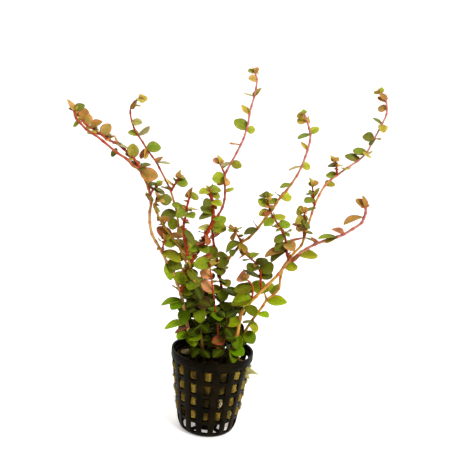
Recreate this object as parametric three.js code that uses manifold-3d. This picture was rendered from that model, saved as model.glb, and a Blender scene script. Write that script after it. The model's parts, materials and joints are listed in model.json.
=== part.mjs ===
// A bunch of orange juice rotala in a net pot: cut stems with small round leaves, held by a wool plug.
// Millimetres, +Z up. The origin is the centre of the pot's underside.
import * as THREE from 'three';
import * as BufferGeometryUtils from 'three/addons/utils/BufferGeometryUtils.js';
import Module from 'manifold-3d';

const wasm = await Module();
wasm.setup();

// Clearance kept between any two pieces.
const GAP = 0.3;

// The net pot: a tapered basket with sixteen columns of slots in five rows.
const POT = {
  height: 50,
  rimRadius: 25,
  bandHeight: 4.6,
  wallTopRadius: 24.3,
  wallFootRadius: 18.2,
  cornerHeight: 5,
  bendRadius: 16.8,
  bendHeight: 1.3,
  footRadius: 13.2,
  wall: 1.2,
  columns: 16,
  turn: -2.7,
};
const FACETS = 2 * POT.columns;
const SLOT = { firstTop: 44.2, pitch: 8.7, height: 6.4, rows: 5, widthPerRadius: 0.178 };
// The floor is a hub and four spokes inside the ring that the pot stands on.
const FLOOR = { hub: 7, ring: 14.4, spokes: 4, spokeWidth: 2.2, arcSteps: 5 };

// The wool plug is wedged in the tapered wall, from the lowest ring of slots to the band. Its torn top
// slopes down towards the back.
const WOOL = {
  top: 42.4,
  edgeTop: 41.4,
  slope: 0.11,
  shoulder: 5,
  fullHeight: 14,
  bendRadius: 15.4,
  bendHeight: 11,
  foot: 10,
  footRadius: 11,
  sides: 16,
};
const ROOT_END = 33;
const HOLE_CLEARANCE = 0.6;
const WISP_RADIUS = 0.8;
// The wisps come out of the column of slots before the right side, and bend round towards the back.
const WISP_COLUMN = -1;
const UPPER_WISP = { height: 41.4, out: 8.5, drop: 1.4, bend: 3 };
const LOWER_WISP = { height: 39.1, out: 3.8, drop: 3, bend: 1 };
const DRY_LEAF = { across: -15.8, back: 9.7, lift: 1.5, half: [4.2, 2.2, 0.4], tilt: 0.35, turn: 0.3 };
const GRANULE = { across: 1.6, back: 7.4, lift: 1.3, radius: 1.1, shape: [1.2, 0.9, 0.8] };

// The plants are set out as they are seen from a point in front of the pot, at this distance and height.
// A joint is given as [across, up] on the upright plane through the pot's axis, and is then slid along the
// line of sight by its depth, so it keeps its place in the front view.
const EYE_DISTANCE = 362;
const EYE_HEIGHT = 187;

// Leaves: a young one at a tip is shorter than an old one low down.
const LEAF = {
  lowLength: 9.2,
  lowHeight: 60,
  highLength: 6.6,
  highHeight: 190,
  widthPerLength: 0.74,
  thickness: 0.75,
};
const BUSHY_STEMS = ['second_left_stem', 'inner_left_stem', 'tall_centre_stem', 'short_red_stem'];
const BUSHY_BELOW = 104;
const DEPTH_LEAVES = [[-2.6, 1.8, 0.9], [2.6, -2.8, 0.9]];
const SMALLEST_LEAF = 3;
const FOOT_INSET = 0.7;
const FOOT_SHARE = 0.3;
const STEP_LENGTH = 9.5;

// Each row is one joint of a stem: across, up, then its leaves. A leaf is the place of its tip seen from its
// joint (across, up) and how squarely it faces the eye: 1 for a full face, near 0 for a leaf seen on edge.
// A main stem has the place of its root in the wool and the depth of its foot and of its tip, and a shoot
// has the stem that it grows from and how far its tip leans away from the eye.
const PLANTS = [
  {
    name: 'left_stem', root: [-9, -6], radius: 0.85, depth: [-6, -22],
    joints: [
      [-12.5, 51, [5, -4, 0.9]],
      [-15.2, 58.3, [-6.5, -1.5, 0.7], [4.5, -5.6, 0.9]],
      [-16.2, 62.5, [-7, -2, 0.3]],
      [-16.9, 65, [-13, -3.2, 0.45]],
      [-19.2, 74, [1, -8, 1]],
      [-20.6, 78.8, [-12, -3, 0.35], [-6, -4.5, 0.8]],
      [-21.9, 83, [9.4, 3, 0.95], [-4.8, 3.8, 0.4]],
      [-24.4, 89, [6.6, 3.2, 0.9]],
      [-27, 94.6, [8.8, -3.4, 0.95]],
      [-31.5, 101.5, [3.8, -9.5, 0.75], [9, -1, 0.9]],
      [-34.8, 107.5, [11.5, -3.5, 0.8]],
      [-39, 113.7],
      [-41.5, 118],
      [-43.2, 125],
      [-43.6, 131],
      [-43.2, 136.6, [-3.5, 5, 0.5]],
      [-45.2, 145, [-3.5, 5, 0.5]],
      [-49.6, 153.3, [9.8, -0.6, 1], [4.2, 1.6, 0.7], [4.5, -4, 0.5]],
      [-51.4, 155.6, [-5, 4, 0.6], [6.5, 3, 0.3]],
      [-55, 157.5],
      [-59, 161],
      [-64.5, 164, [-4.8, 0, 0.95]],
      [-73, 170],
      [-78.5, 173.6, [-3.5, 1.2, 0.7]],
      [-83, 176],
      [-87, 179.6, [-4.8, 0, 0.9]],
      [-89.3, 182],
      [-90.5, 186, [-4.2, 6, 0.5], [4.9, 4, 0.7]],
    ],
  },
  {
    name: 'left_upper_branch', from: 'left_stem', radius: 0.7, lean: 9,
    joints: [
      [-51, 156.2],
      [-52.2, 158.6, [-3.2, 2, 0.6]],
      [-55, 161.7, [-1.3, 8, 1], [-4.2, 3.5, 0.8]],
      [-61, 166.7, [-3.2, 3.6, 0.4]],
      [-65.5, 169.6, [7, -2.5, 0.25], [-1, 4.7, 0.45]],
      [-71, 171.3, [2.8, 2.6, 0.5]],
      [-73.7, 173.4, [3.7, 6.7, 0.95], [3.2, 1.5, 0.6], [-4.2, 1.8, 0.8]],
      [-78, 175.8],
      [-80.3, 177.2, [6, 3.5, 0.6]],
      [-82.6, 178, [-0.3, 7, 0.9]],
      [-85.3, 180.6, [0.5, 7.2, 1]],
      [-88.2, 183.3, [-2, 3, 0.5]],
    ],
  },
  {
    name: 'left_dark_twig', from: 'left_stem', radius: 0.5, lean: -5,
    joints: [
      [-44, 141],
      [-42.6, 144],
      [-41, 145.8, [2.2, -1.5, 0.5], [4.8, -3.6, 0.6]],
      [-40, 146.8, [-4.5, 2.3, 0.6], [2.5, 3, 0.35]],
    ],
  },
  {
    name: 'left_red_shoot', from: 'left_stem', radius: 0.5, lean: -7,
    joints: [
      [-34.6, 107.5],
      [-34.5, 110],
      [-34.2, 112.7, [7, 0.8, 0.95], [-3, 0.5, 0.25]],
      [-33.6, 115.2, [1.6, 2.2, 0.5]],
    ],
  },
  {
    name: 'second_left_stem', root: [-8, 6], radius: 0.7, depth: [6, 20],
    joints: [
      [-9, 51],
      [-9.5, 61, [-8, 1, 0.9]],
      [-11, 73, [9, 0.5, 0.5]],
      [-14, 84, [-2, -8, 0.9]],
      [-17.5, 96],
      [-20.8, 104],
      [-24.5, 111],
      [-26, 118],
      [-26.2, 124.6, [-6.4, 0, 1]],
      [-27.6, 131.5, [-9.5, -2.5, 0.75]],
      [-29.7, 138, [4.4, -3.2, 0.8]],
      [-32.2, 144.6, [-6.2, 1.5, 0.25]],
      [-35.3, 150.3],
      [-39.6, 157.3],
      [-41.3, 160.2, [3, 3.6, 0.5], [8.6, -0.2, 0.2]],
      [-44.2, 163.6],
      [-47.8, 168, [8.5, 1, 0.9], [-2.7, -6.5, 0.6], [1, -5.7, 0.4]],
      [-50, 171.2],
      [-53, 175, [-6.5, 2.4, 0.8], [6.7, 5.5, 0.45]],
      [-55.4, 178.6],
      [-57.2, 183, [6.6, -0.6, 0.8]],
      [-58.3, 187.5],
      [-58, 191.3, [6.2, 0.6, 0.2]],
      [-56.2, 194, [-0.5, -3.6, 0.4]],
      [-53.7, 195.7, [3.6, 1.3, 0.8], [2.6, -1.8, 0.6]],
    ],
  },
  {
    name: 'second_left_shoot', from: 'second_left_stem', radius: 0.5, lean: -5,
    joints: [
      [-31.6, 144.8],
      [-30.6, 147.2, [-5, 4.3, 0.3]],
      [-29.3, 149.8, [7.3, 0.8, 0.9]],
      [-28.2, 152.5, [0.6, 4.2, 0.5], [3, 1.4, 0.7]],
    ],
  },
  {
    name: 'inner_left_stem', root: [-4, -10], radius: 0.7, depth: [-10, -16],
    joints: [
      [-6.5, 51, [-3, 5, 0.9]],
      [-8.5, 62, [-7, -3, 0.9], [6, 2, 0.9]],
      [-10.8, 75, [2.5, -8, 1], [8, 2, 0.55]],
      [-13.5, 88, [-6, -5, 0.9], [4, -6, 0.8]],
      [-17, 99],
      [-19.9, 106.5],
      [-23.7, 111, [-5, 2.2, 0.35], [2.2, 4.4, 0.6]],
      [-29.8, 117.2, [-9, 4.2, 0.95], [6.5, 1.5, 0.6]],
      [-34.9, 123.8],
      [-36.8, 126.3, [4.2, 1.5, 0.7]],
      [-39.5, 131.2, [-2, 4, 0.5]],
      [-41.2, 134.9],
      [-40.1, 137.4, [4.2, 2.4, 0.8]],
      [-38.4, 138.7, [7, 0.4, 1], [-2.2, 2.8, 0.6]],
    ],
  },
  {
    name: 'inner_left_shoot', from: 'inner_left_stem', radius: 0.65, lean: -9,
    joints: [
      [-19.6, 106.5],
      [-20.4, 111],
      [-21.6, 115.5],
      [-22.8, 122, [6, -7.3, 0.55]],
      [-23, 126.5, [-2.5, 1, 0.4]],
      [-22, 131.6, [-5.2, 4.4, 0.8], [4.6, -1, 0.7]],
      [-22, 134.2, [-5.2, -3.6, 0.85], [7, 0.6, 0.15]],
      [-21.5, 138.6],
      [-20.8, 141.6, [4.4, 1, 0.9], [0.3, 4.5, 0.5]],
    ],
  },
  {
    name: 'red_branch', from: 'left_stem', radius: 0.9, lean: 2,
    joints: [
      [-21.5, 84],
      [-20.8, 90],
      [-19.3, 97.1, [-4, 0.5, 0.6]],
      [-17.8, 101],
      [-16, 105.5],
      [-13.7, 109.7],
      [-12, 113.2, [-9.6, -1, 0.95], [4.4, -2.6, 0.9]],
      [-10.6, 117, [-3, -3, 0.5], [2.6, 1.2, 0.5]],
      [-9.4, 120.3, [-4, 1.6, 0.45], [1.8, -4, 0.4]],
      [-8.3, 123, [-5.8, 1.6, 0.7]],
      [-6.6, 127],
      [-6.1, 130.5],
      [-6.3, 133.5, [-7.8, 2.5, 0.75], [-8, -3.6, 0.5]],
      [-6.8, 137.3],
      [-7.5, 140.7, [-3.9, -1.5, 0.8], [5.4, -1.8, 0.7]],
      [-8.5, 143.6, [5.2, 0.6, 0.9]],
      [-9.7, 146.2, [-5, -0.3, 0.7], [6.8, 2, 0.7], [0.8, 3.6, 0.5]],
    ],
  },
  {
    name: 'tall_centre_stem', root: [2, 4], radius: 0.7, depth: [4, 12],
    joints: [
      [3.2, 51],
      [4.2, 60, [7, 2, 0.9]],
      [4.9, 72, [-6, 3, 0.9]],
      [4, 80],
      [2.2, 89, [1, -8, 0.9]],
      [0.9, 94.8, [3, 3, 0.4], [3.2, -1, 0.4]],
      [-0.8, 101],
      [-2.4, 108.7],
      [-4.2, 114.2, [-1.5, -8, 0.95]],
      [-5.2, 118.3, [2.2, 2.6, 0.5]],
      [-6.2, 125.3, [7.8, 6, 0.85], [8.6, -0.4, 0.95]],
      [-5.3, 129],
      [-3.3, 132.4],
      [-1.2, 137],
      [-0.3, 142],
      [-0.3, 146.4, [4.4, 3.6, 0.6]],
      [-0.9, 151.5, [-4.2, 0.8, 0.8]],
      [-1.3, 155.6, [-7.3, -2.2, 1], [1.3, -5.2, 0.45]],
      [-0.4, 158.8],
      [1.9, 164, [6.2, -1.8, 1], [-5.5, -4.3, 0.35]],
      [4.6, 170],
      [6.4, 174.5, [-6.8, -0.2, 0.25]],
      [7.8, 178.3],
      [9, 183.5, [-7.6, 5, 0.85], [5, 0.2, 1]],
      [9.6, 187],
      [10, 192, [-5, 5.6, 0.5]],
      [10.7, 197],
      [11.8, 202.3, [-7, 2, 0.15], [3.3, 6, 0.5]],
      [12.4, 207],
      [12.4, 212.2, [-5, -0.2, 0.9]],
      [11.2, 215.7, [-3.6, 2.2, 0.6], [-0.8, 3, 0.5]],
    ],
  },
  {
    name: 'pink_bud_shoot', from: 'tall_centre_stem', radius: 0.45, lean: -3,
    joints: [
      [-1.5, 157.2],
      [-2.6, 159.2],
      [-4.4, 162.2, [-3.3, 3, 0.8], [-1.3, 6, 0.5]],
    ],
  },
  {
    name: 'centre_right_branch', from: 'tall_centre_stem', radius: 0.65, lean: -14,
    joints: [
      [0, 99.5],
      [2.2, 102.6],
      [5.1, 107, [-6.2, -5.2, 0.95]],
      [9.4, 113, [-3.2, -1, 0.3]],
      [11.6, 117, [1, -7, 0.8], [-9, -4.6, 0.45]],
      [16, 120.5],
      [20.6, 126.5, [-7.6, -4, 0.5], [-2.5, 3, 0.2]],
      [24.7, 133.1],
      [28.6, 139.1],
      [30.2, 142.4, [-4.7, 1.2, 0.75]],
      [32.3, 146, [6.9, 0.7, 0.85], [-2.4, 2.4, 0.3]],
      [35.4, 150.3],
      [37.8, 154.3, [-6.5, -2, 0.5]],
      [40.6, 159.5],
      [42.8, 165.1, [6, 1, 0.95], [-7.5, -2.8, 0.2]],
      [44.4, 171],
      [45.2, 174.5, [-3.3, 5.2, 0.55]],
      [46.1, 180],
      [45.9, 184, [4.5, 4.3, 0.8], [-7, -3.5, 0.4]],
      [44.8, 187.3],
      [43.4, 190.9, [-5.5, 1.1, 0.8], [0.6, 3.2, 0.3]],
      [41.2, 195, [-3.9, 0.4, 0.85]],
    ],
  },
  {
    name: 'centre_right_twig', from: 'centre_right_branch', radius: 0.45, lean: -4,
    joints: [
      [11.6, 117.2],
      [9.8, 120.6],
      [7.4, 123.2, [-1, -3, 0.5], [2.3, 2, 0.5]],
      [6, 124.4, [-2.4, 0.6, 0.5]],
    ],
  },
  {
    name: 'short_red_stem', root: [0, -6], radius: 0.6, depth: [-6, -13],
    joints: [
      [1.2, 51, [-5.6, 4, 0.9]],
      [2.4, 59, [0.6, -7, 0.95], [6, 1, 0.9]],
      [1.5, 67, [-7, 1, 0.9]],
      [0, 73],
      [-1.6, 81, [-6, -4, 0.9]],
      [-2.6, 86, [-7.6, 5.2, 0.95]],
      [-4.2, 94.6, [-7.2, 3, 0.95]],
      [-5.6, 100.5, [4, 2, 0.5]],
      [-6.6, 104.5, [-8.4, -3, 1], [-4, 1.5, 0.9]],
    ],
  },
  {
    name: 'low_right_stem', root: [9, -5], radius: 0.95, depth: [-5, -30],
    joints: [
      [12.2, 51, [6.8, -1.5, 0.9], [1.8, -4.6, 0.8]],
      [14.2, 60.5, [0.6, -8.4, 1]],
      [15, 70, [-8, -2.6, 0.9]],
      [15.4, 73.5],
      [19.2, 79.5, [4, -4.5, 0.85]],
      [23.5, 85.1],
      [29.9, 92.9],
      [35.6, 99.9],
      [38.5, 104.8, [8.2, 0.6, 0.85]],
      [41.4, 108.8],
      [46, 112.6, [12, 1.2, 0.95], [-3, -2.4, 0.5]],
      [50.6, 116.6],
      [55.4, 119.8, [-1.5, 3.2, 0.45]],
      [61, 122.5],
      [67.8, 125.3, [-10.7, -0.6, 0.3], [-6.5, -2.8, 0.5]],
      [71.5, 127.2, [-6, 2.8, 0.6]],
      [76.6, 130.9],
      [81.5, 135.2],
      [82.4, 138.2, [-11.4, -1.8, 0.3]],
      [83.1, 141.2],
      [82.7, 144.1, [-1.5, 6.2, 0.5], [-5, 4.4, 0.75]],
    ],
  },
  {
    name: 'upright_red_shoot', from: 'low_right_stem', radius: 0.6, lean: 6,
    joints: [
      [41.2, 108.8],
      [40, 111.5],
      [38.8, 114.8, [-12.3, -3.3, 0.4], [-9, -5.8, 0.55]],
      [38.3, 119, [-6, -5, 0.85], [4.2, -2.6, 0.9]],
      [36.4, 124.4, [-5, -5.2, 0.85], [4, 2.2, 0.3]],
      [34.4, 127.2, [-4.2, 0.6, 0.25]],
      [33, 129, [6.8, 1.6, 0.85]],
      [29.6, 133.8, [6.9, 0.8, 0.7], [-5.2, -5, 0.8]],
      [27.2, 137.3, [-3, -1, 0.5], [-6.4, -1.6, 0.8]],
      [26, 140.4, [-6, 2.2, 0.85]],
      [24.6, 145.2, [-3.5, 1.4, 0.9], [3.4, 3, 0.8]],
    ],
  },
  {
    name: 'dark_red_shoot', from: 'low_right_stem', radius: 0.55, lean: 4,
    joints: [
      [26.2, 89],
      [25.6, 93],
      [25.2, 96.4, [-10.7, 4.6, 0.3], [6.6, 3, 0.85]],
      [24.6, 100.6, [7.4, 4.4, 0.95]],
      [22.4, 104.6, [-5.2, -2.8, 0.8], [5.5, 3.5, 0.8]],
      [18.3, 108, [4.2, 3.6, 0.7], [-3.6, -0.5, 0.25]],
      [14.2, 110.8, [-2, -1.5, 0.4]],
    ],
  },
  {
    name: 'pink_leaf_shoot', from: 'low_right_stem', radius: 0.5, lean: -5,
    joints: [
      [20.6, 81],
      [21.1, 84, [-11, -2.2, 0.95], [-12, -3.5, 0.8]],
      [21.2, 87.6, [-6.8, 2.6, 0.95]],
      [20.6, 91.5, [-10.6, -3.4, 0.8]],
      [18.8, 93.8],
      [16.8, 94.9, [-5.6, 1.7, 1]],
    ],
  },
  {
    name: 'far_right_stem', root: [14, 3], radius: 0.65, depth: [3, 26],
    joints: [
      [16, 52, [3.4, 3.8, 0.9]],
      [18.9, 62.7, [5.6, -6, 0.95]],
      [22.4, 69.9, [-4.7, -0.5, 0.5], [2, -5.4, 0.75]],
      [25.3, 74.8, [6.2, -0.6, 0.6], [-6, 0.2, 0.25]],
      [28.2, 79.7],
      [30.2, 83.6, [12, -1, 0.9]],
      [33.8, 87, [2.2, 6.6, 0.65]],
      [36.6, 91],
      [37, 98],
      [38.8, 106],
      [43.5, 113.5],
      [47.4, 118.6],
      [48.6, 123.4, [-9.8, -1, 0.15], [5, -0.4, 0.15]],
      [50.2, 131],
      [51.7, 138.5],
      [52.4, 142, [-3.6, -2.6, 0.65]],
      [54.8, 149.3],
      [57.6, 155.2, [6.2, 1.9, 0.75]],
      [60.6, 158.9],
      [63.7, 161.5, [-6.4, 0, 0.7]],
      [69, 166.3, [-3, -0.6, 0.5], [2, 0.2, 0.4]],
      [74.7, 170.8, [-7, 4, 0.7], [-2.6, 4.3, 0.7]],
      [79.3, 176, [-8, 0.6, 0.7], [2.9, 0.2, 0.2], [-0.5, -2.6, 0.7]],
      [82.7, 184.2, [-6.8, 1, 0.85], [-2.6, -3, 0.4], [4.5, 0.5, 0.15]],
      [86.2, 192.8, [-5, 4.3, 0.4], [0.5, -3.5, 0.9]],
      [88.1, 198.6],
      [88, 201.8, [-4.8, 0.4, 0.9]],
      [87, 205.8, [-4.3, 2.8, 0.65], [1.8, 4, 0.5]],
      [83.8, 210.4, [-3.6, 1.6, 0.7], [0.6, -2.6, 0.5]],
    ],
  },
  {
    name: 'far_right_upper_shoot', from: 'far_right_stem', radius: 0.45, lean: -3,
    joints: [
      [63.6, 161.8],
      [63.3, 164.4],
      [63, 166.7, [-3.8, 0, 0.6], [5.6, 1.2, 0.35]],
      [61.9, 169.6, [-0.4, 3, 0.7]],
    ],
  },
  {
    name: 'far_right_inner_shoot', from: 'far_right_stem', radius: 0.5, lean: -6,
    joints: [
      [52.8, 143.2],
      [51.6, 147.3, [-4.8, -4, 0.75], [3.4, 6.2, 0.5]],
      [51, 150.6, [-3.7, -0.8, 0.25]],
      [50.3, 153.8, [1.5, 4.6, 0.95], [-2, 4.7, 0.4]],
    ],
  },
  {
    name: 'far_right_low_shoot', from: 'far_right_stem', radius: 0.5, lean: -8,
    joints: [
      [48.4, 124],
      [48, 126.7, [5.5, 0.5, 0.55]],
      [48, 130.3, [-7.2, 0.8, 0.4], [-4, -2.6, 0.8]],
      [48.2, 134.3, [-5.7, -1, 0.9], [-3.2, -4, 0.6], [1.3, -4, 0.5]],
      [47, 138.4, [-4.4, 0.8, 1], [0.8, 2.6, 0.5]],
    ],
  },
  {
    name: 'right_lower_shoot', from: 'far_right_stem', radius: 0.5, lean: -5,
    joints: [
      [30, 83.4],
      [29.2, 85.5],
      [28.3, 87.8, [-7.6, 5.4, 0.95], [4.2, 5.8, 0.75]],
    ],
  },
  {
    name: 'shaded_stem_left', root: [-11, 1], radius: 0.6, depth: [1, 8],
    joints: [
      [-13, 51],
      [-14, 59, [-8, 2, 0.9], [6, 3, 0.9]],
      [-15, 68, [2, -8, 0.9]],
      [-15.6, 77, [-7, -3, 0.9], [7, -2, 0.9]],
      [-15.8, 85, [-2, 7, 0.9], [5, 4, 0.8]],
    ],
  },
  {
    name: 'shaded_stem_middle', root: [-4, 4], radius: 0.6, depth: [4, 16],
    joints: [
      [-4, 51],
      [-4, 59, [-8, 1, 0.9], [8, 2, 0.9]],
      [-4.6, 67, [2, -7, 0.9]],
      [-5.6, 76, [-8, 2, 0.9], [7, -3, 0.9]],
      [-6.8, 85, [4, -6, 0.9], [-6, 4, 0.8]],
      [-8, 93, [5, 3, 0.8]],
    ],
  },
  {
    name: 'shaded_stem_right', root: [8, 6], radius: 0.6, depth: [6, 14],
    joints: [
      [9, 51],
      [10.4, 59, [8, 0, 0.9], [-7, 2, 0.9]],
      [11.4, 67, [6, -4, 0.9], [-5, 5, 0.8]],
      [11.8, 76, [-8, 1, 0.9], [5, 5, 0.8]],
      [11.4, 84, [-5, 4, 0.8], [4, 3, 0.7]],
    ],
  },
  {
    name: 'shaded_stem_front', root: [5, -11], radius: 0.6, depth: [-11, -14],
    joints: [
      [6, 50, [-5, -3, 0.9]],
      [6.6, 57, [7, 0, 0.9], [-7, -1, 0.9]],
      [7, 64, [-5, 4, 0.9], [4, -5, 0.9]],
      [7, 70, [5, 2, 0.8], [-4, 3, 0.8]],
    ],
  },
];

const COLOURS = {
  pot: 0x15130f,
  wool: 0x8a7434,
  leaf: 0x75862c,
  dryLeaf: 0x8c7a45,
  granule: 0xc9bd98,
};

// Closed solids for cutting and joining.

function toSolid(geometry) {
  const bare = geometry.clone();
  bare.deleteAttribute('normal');
  bare.deleteAttribute('uv');
  const merged = BufferGeometryUtils.mergeVertices(bare, 1e-4);
  const index = merged.index.array;
  const triangles = [];
  for (let i = 0; i < index.length; i += 3) {
    const [a, b, c] = [index[i], index[i + 1], index[i + 2]];
    if (a !== b && b !== c && c !== a) triangles.push(a, b, c);
  }
  const mesh = new wasm.Mesh({
    numProp: 3,
    vertProperties: new Float32Array(merged.attributes.position.array),
    triVerts: new Uint32Array(triangles),
  });
  return new wasm.Manifold(mesh);
}

function toGeometry(solid) {
  const mesh = solid.getMesh();
  const geometry = new THREE.BufferGeometry();
  geometry.setAttribute('position', new THREE.BufferAttribute(new Float32Array(mesh.vertProperties), 3));
  geometry.setIndex(new THREE.BufferAttribute(new Uint32Array(mesh.triVerts), 1));
  geometry.computeVertexNormals();
  return geometry;
}

function upright(geometry) {
  return geometry.rotateX(Math.PI / 2);
}

function turned(geometry, degrees) {
  return geometry.rotateZ(THREE.MathUtils.degToRad(degrees));
}

// The pot.

function wallRadius(z) {
  const rise = (z - POT.cornerHeight) / (POT.height - POT.bandHeight - POT.cornerHeight);
  return THREE.MathUtils.lerp(POT.wallFootRadius, POT.wallTopRadius, rise);
}

function potBody() {
  const bandFoot = POT.height - POT.bandHeight;
  const outline = [
    [0, 0],
    [POT.footRadius, 0],
    [POT.bendRadius, POT.bendHeight],
    [POT.wallFootRadius, POT.cornerHeight],
    [POT.wallTopRadius, bandFoot],
    [POT.rimRadius, bandFoot + 0.5],
    [POT.rimRadius, POT.height],
    [POT.rimRadius - POT.wall, POT.height],
    [POT.wallFootRadius - POT.wall, POT.cornerHeight + 0.3],
    [POT.bendRadius - POT.wall, POT.bendHeight + 1.1],
    [POT.footRadius - POT.wall / 2, POT.wall],
    [0, POT.wall],
  ];
  const profile = outline.map(([radius, z]) => new THREE.Vector2(radius, z));
  const lathe = new THREE.LatheGeometry(profile, FACETS, Math.PI / FACETS);
  return toSolid(upright(lathe));
}

function slotBoxes() {
  const boxes = [];
  for (let row = 0; row < SLOT.rows; row += 1) {
    const middle = SLOT.firstTop - row * SLOT.pitch - SLOT.height / 2;
    const radius = wallRadius(middle);
    for (let column = 0; column < POT.columns; column += 1) {
      const box = new THREE.BoxGeometry(SLOT.widthPerRadius * radius, 6, SLOT.height);
      box.translate(0, -radius, middle);
      boxes.push(turned(box, (360 / POT.columns) * column));
    }
  }
  return boxes;
}

// Points at this radius from one side of a floor opening to the other, with a spoke's half width kept free.
function floorArc(radius) {
  const half = Math.PI / FLOOR.spokes - Math.asin(FLOOR.spokeWidth / 2 / radius);
  const points = [];
  for (let step = 0; step <= FLOOR.arcSteps; step += 1) {
    const angle = -Math.PI / 2 + half * ((2 * step) / FLOOR.arcSteps - 1);
    points.push(new THREE.Vector2(radius * Math.cos(angle), radius * Math.sin(angle)));
  }
  return points;
}

function floorOpenings() {
  const shape = new THREE.Shape([...floorArc(FLOOR.ring), ...floorArc(FLOOR.hub).reverse()]);
  const openings = [];
  for (let index = 0; index < FLOOR.spokes; index += 1) {
    const opening = new THREE.ExtrudeGeometry(shape, { depth: 3 * POT.wall, bevelEnabled: false });
    openings.push(turned(opening.translate(0, 0, -POT.wall), (360 / FLOOR.spokes) * index));
  }
  return openings;
}

function netPot() {
  const [slots, floorGaps] = [slotBoxes(), floorOpenings()].map((cutters) => {
    return toSolid(BufferGeometryUtils.mergeGeometries(cutters));
  });
  const turn = THREE.MathUtils.degToRad(POT.turn);
  return toSolid(toGeometry(potBody().subtract(slots).subtract(floorGaps)).rotateZ(turn));
}

// The wool plug, with a planting hole for each main stem.

function woolRadius(z) {
  return wallRadius(z) - POT.wall - GAP - 0.2;
}

function woolTop(y) {
  return WOOL.top - WOOL.slope * y;
}

// Shifts the plug's top to its slope, and keeps the edge to the taper of the wall.
function slopeTop(geometry) {
  const place = geometry.attributes.position;
  for (let i = 0; i < place.count; i += 1) {
    const [x, y, z] = [place.getX(i), place.getY(i), place.getZ(i)];
    if (z > WOOL.fullHeight + GAP) {
      const sloped = z - WOOL.slope * y;
      const spread = woolRadius(sloped) / woolRadius(z);
      place.setXYZ(i, x * spread, y * spread, sloped);
    }
  }
  return geometry;
}

function woolPlug(roots) {
  const outline = [
    [0, WOOL.foot],
    [WOOL.footRadius, WOOL.foot],
    [WOOL.bendRadius, WOOL.bendHeight],
    [woolRadius(WOOL.fullHeight), WOOL.fullHeight],
    [woolRadius(WOOL.edgeTop), WOOL.edgeTop],
    [woolRadius(WOOL.edgeTop) - WOOL.shoulder, WOOL.top],
    [0, WOOL.top],
  ];
  const profile = outline.map(([radius, z]) => new THREE.Vector2(radius, z));
  let plug = toSolid(slopeTop(upright(new THREE.LatheGeometry(profile, WOOL.sides))));
  for (const { root, radius } of roots) {
    const depth = WOOL.top - ROOT_END + 4;
    const hole = new THREE.CylinderGeometry(radius + HOLE_CLEARANCE, radius + HOLE_CLEARANCE, depth, 6);
    upright(hole).translate(root[0], root[1], ROOT_END - GAP + depth / 2);
    plug = plug.subtract(toSolid(hole));
  }
  return plug;
}

// Routes of the stems.

function slide(across, up, depth) {
  const along = 1 + depth / EYE_DISTANCE;
  return new THREE.Vector3(across * along, depth, EYE_HEIGHT + (up - EYE_HEIGHT) * along);
}

function shares(joints) {
  const lengths = [0];
  for (let i = 1; i < joints.length; i += 1) {
    const step = Math.hypot(joints[i][0] - joints[i - 1][0], joints[i][1] - joints[i - 1][1]);
    lengths.push(lengths[i - 1] + step);
  }
  return lengths.map((length) => length / lengths[lengths.length - 1]);
}

function nearestDepth(parent, across, up) {
  let best = Infinity;
  let depth = 0;
  for (const spot of parent.spots) {
    const distance = Math.hypot(spot.across - across, spot.up - up);
    if (distance < best) {
      best = distance;
      depth = spot.depth;
    }
  }
  return depth;
}

function jointDepths(plant, parent) {
  const share = shares(plant.joints);
  if (!parent) {
    const [foot, tip] = plant.depth;
    return share.map((s) => foot + (tip - foot) * s ** 1.5);
  }
  const start = nearestDepth(parent, plant.joints[0][0], plant.joints[0][1]);
  return share.map((s) => start + plant.lean * s);
}

function distanceTo(line, point) {
  let best = Infinity;
  for (let i = 1; i < line.length; i += 1) {
    const near = new THREE.Line3(line[i - 1], line[i]).closestPointToPoint(point, true, new THREE.Vector3());
    best = Math.min(best, near.distanceTo(point));
  }
  return best;
}

// Where a shoot's own route comes clear of the stem that it grows from.
function clearShare(curve, parent, reach) {
  const samples = 120;
  let last = 0;
  for (let i = 0; i <= samples * 0.6; i += 1) {
    if (distanceTo(parent.line, curve.getPointAt(i / samples)) < reach) last = i;
  }
  return (last + 1) / samples;
}

function layRoute(plant, parent) {
  const depths = jointDepths(plant, parent);
  const points = plant.joints.map(([across, up], i) => slide(across, up, depths[i]));
  const spots = plant.joints.map(([across, up], i) => ({ across, up, depth: depths[i] }));
  let route = points;
  if (parent) {
    const whole = new THREE.CatmullRomCurve3(points, false, 'centripetal');
    const reach = parent.radius + plant.radius + GAP + 0.15;
    const start = whole.getPointAt(clearShare(whole, parent, reach));
    const kept = points.filter((point) => distanceTo(parent.line, point) > reach + 0.4);
    route = [start, ...kept];
  } else {
    const [x, y] = plant.root;
    const planted = [ROOT_END, ROOT_END + 5, WOOL.top + 1].map((z) => new THREE.Vector3(x, y, z));
    route = [...planted, ...points];
  }
  const curve = new THREE.CatmullRomCurve3(route, false, 'centripetal');
  const steps = Math.max(2, Math.round(curve.getLength() / STEP_LENGTH));
  return { ...plant, points, spots, curve, steps, line: curve.getSpacedPoints(steps) };
}

// Thin stems and wisps keep the fewest sides that a solid can have.
function threeSided(radius) {
  const corners = [0, 1, 2].map((i) => (i * 2 * Math.PI) / 3);
  return new THREE.Shape(corners.map((a) => new THREE.Vector2(radius * Math.cos(a), radius * Math.sin(a))));
}

function tubeAlong(curve, radius, steps) {
  const options = { steps, bevelEnabled: false, extrudePath: curve };
  return new THREE.ExtrudeGeometry(threeSided(radius), options);
}

// Leaves.

function usualLength(height) {
  const rise = THREE.MathUtils.smoothstep(height, LEAF.lowHeight, LEAF.highHeight);
  return THREE.MathUtils.lerp(LEAF.lowLength, LEAF.highLength, rise);
}

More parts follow.
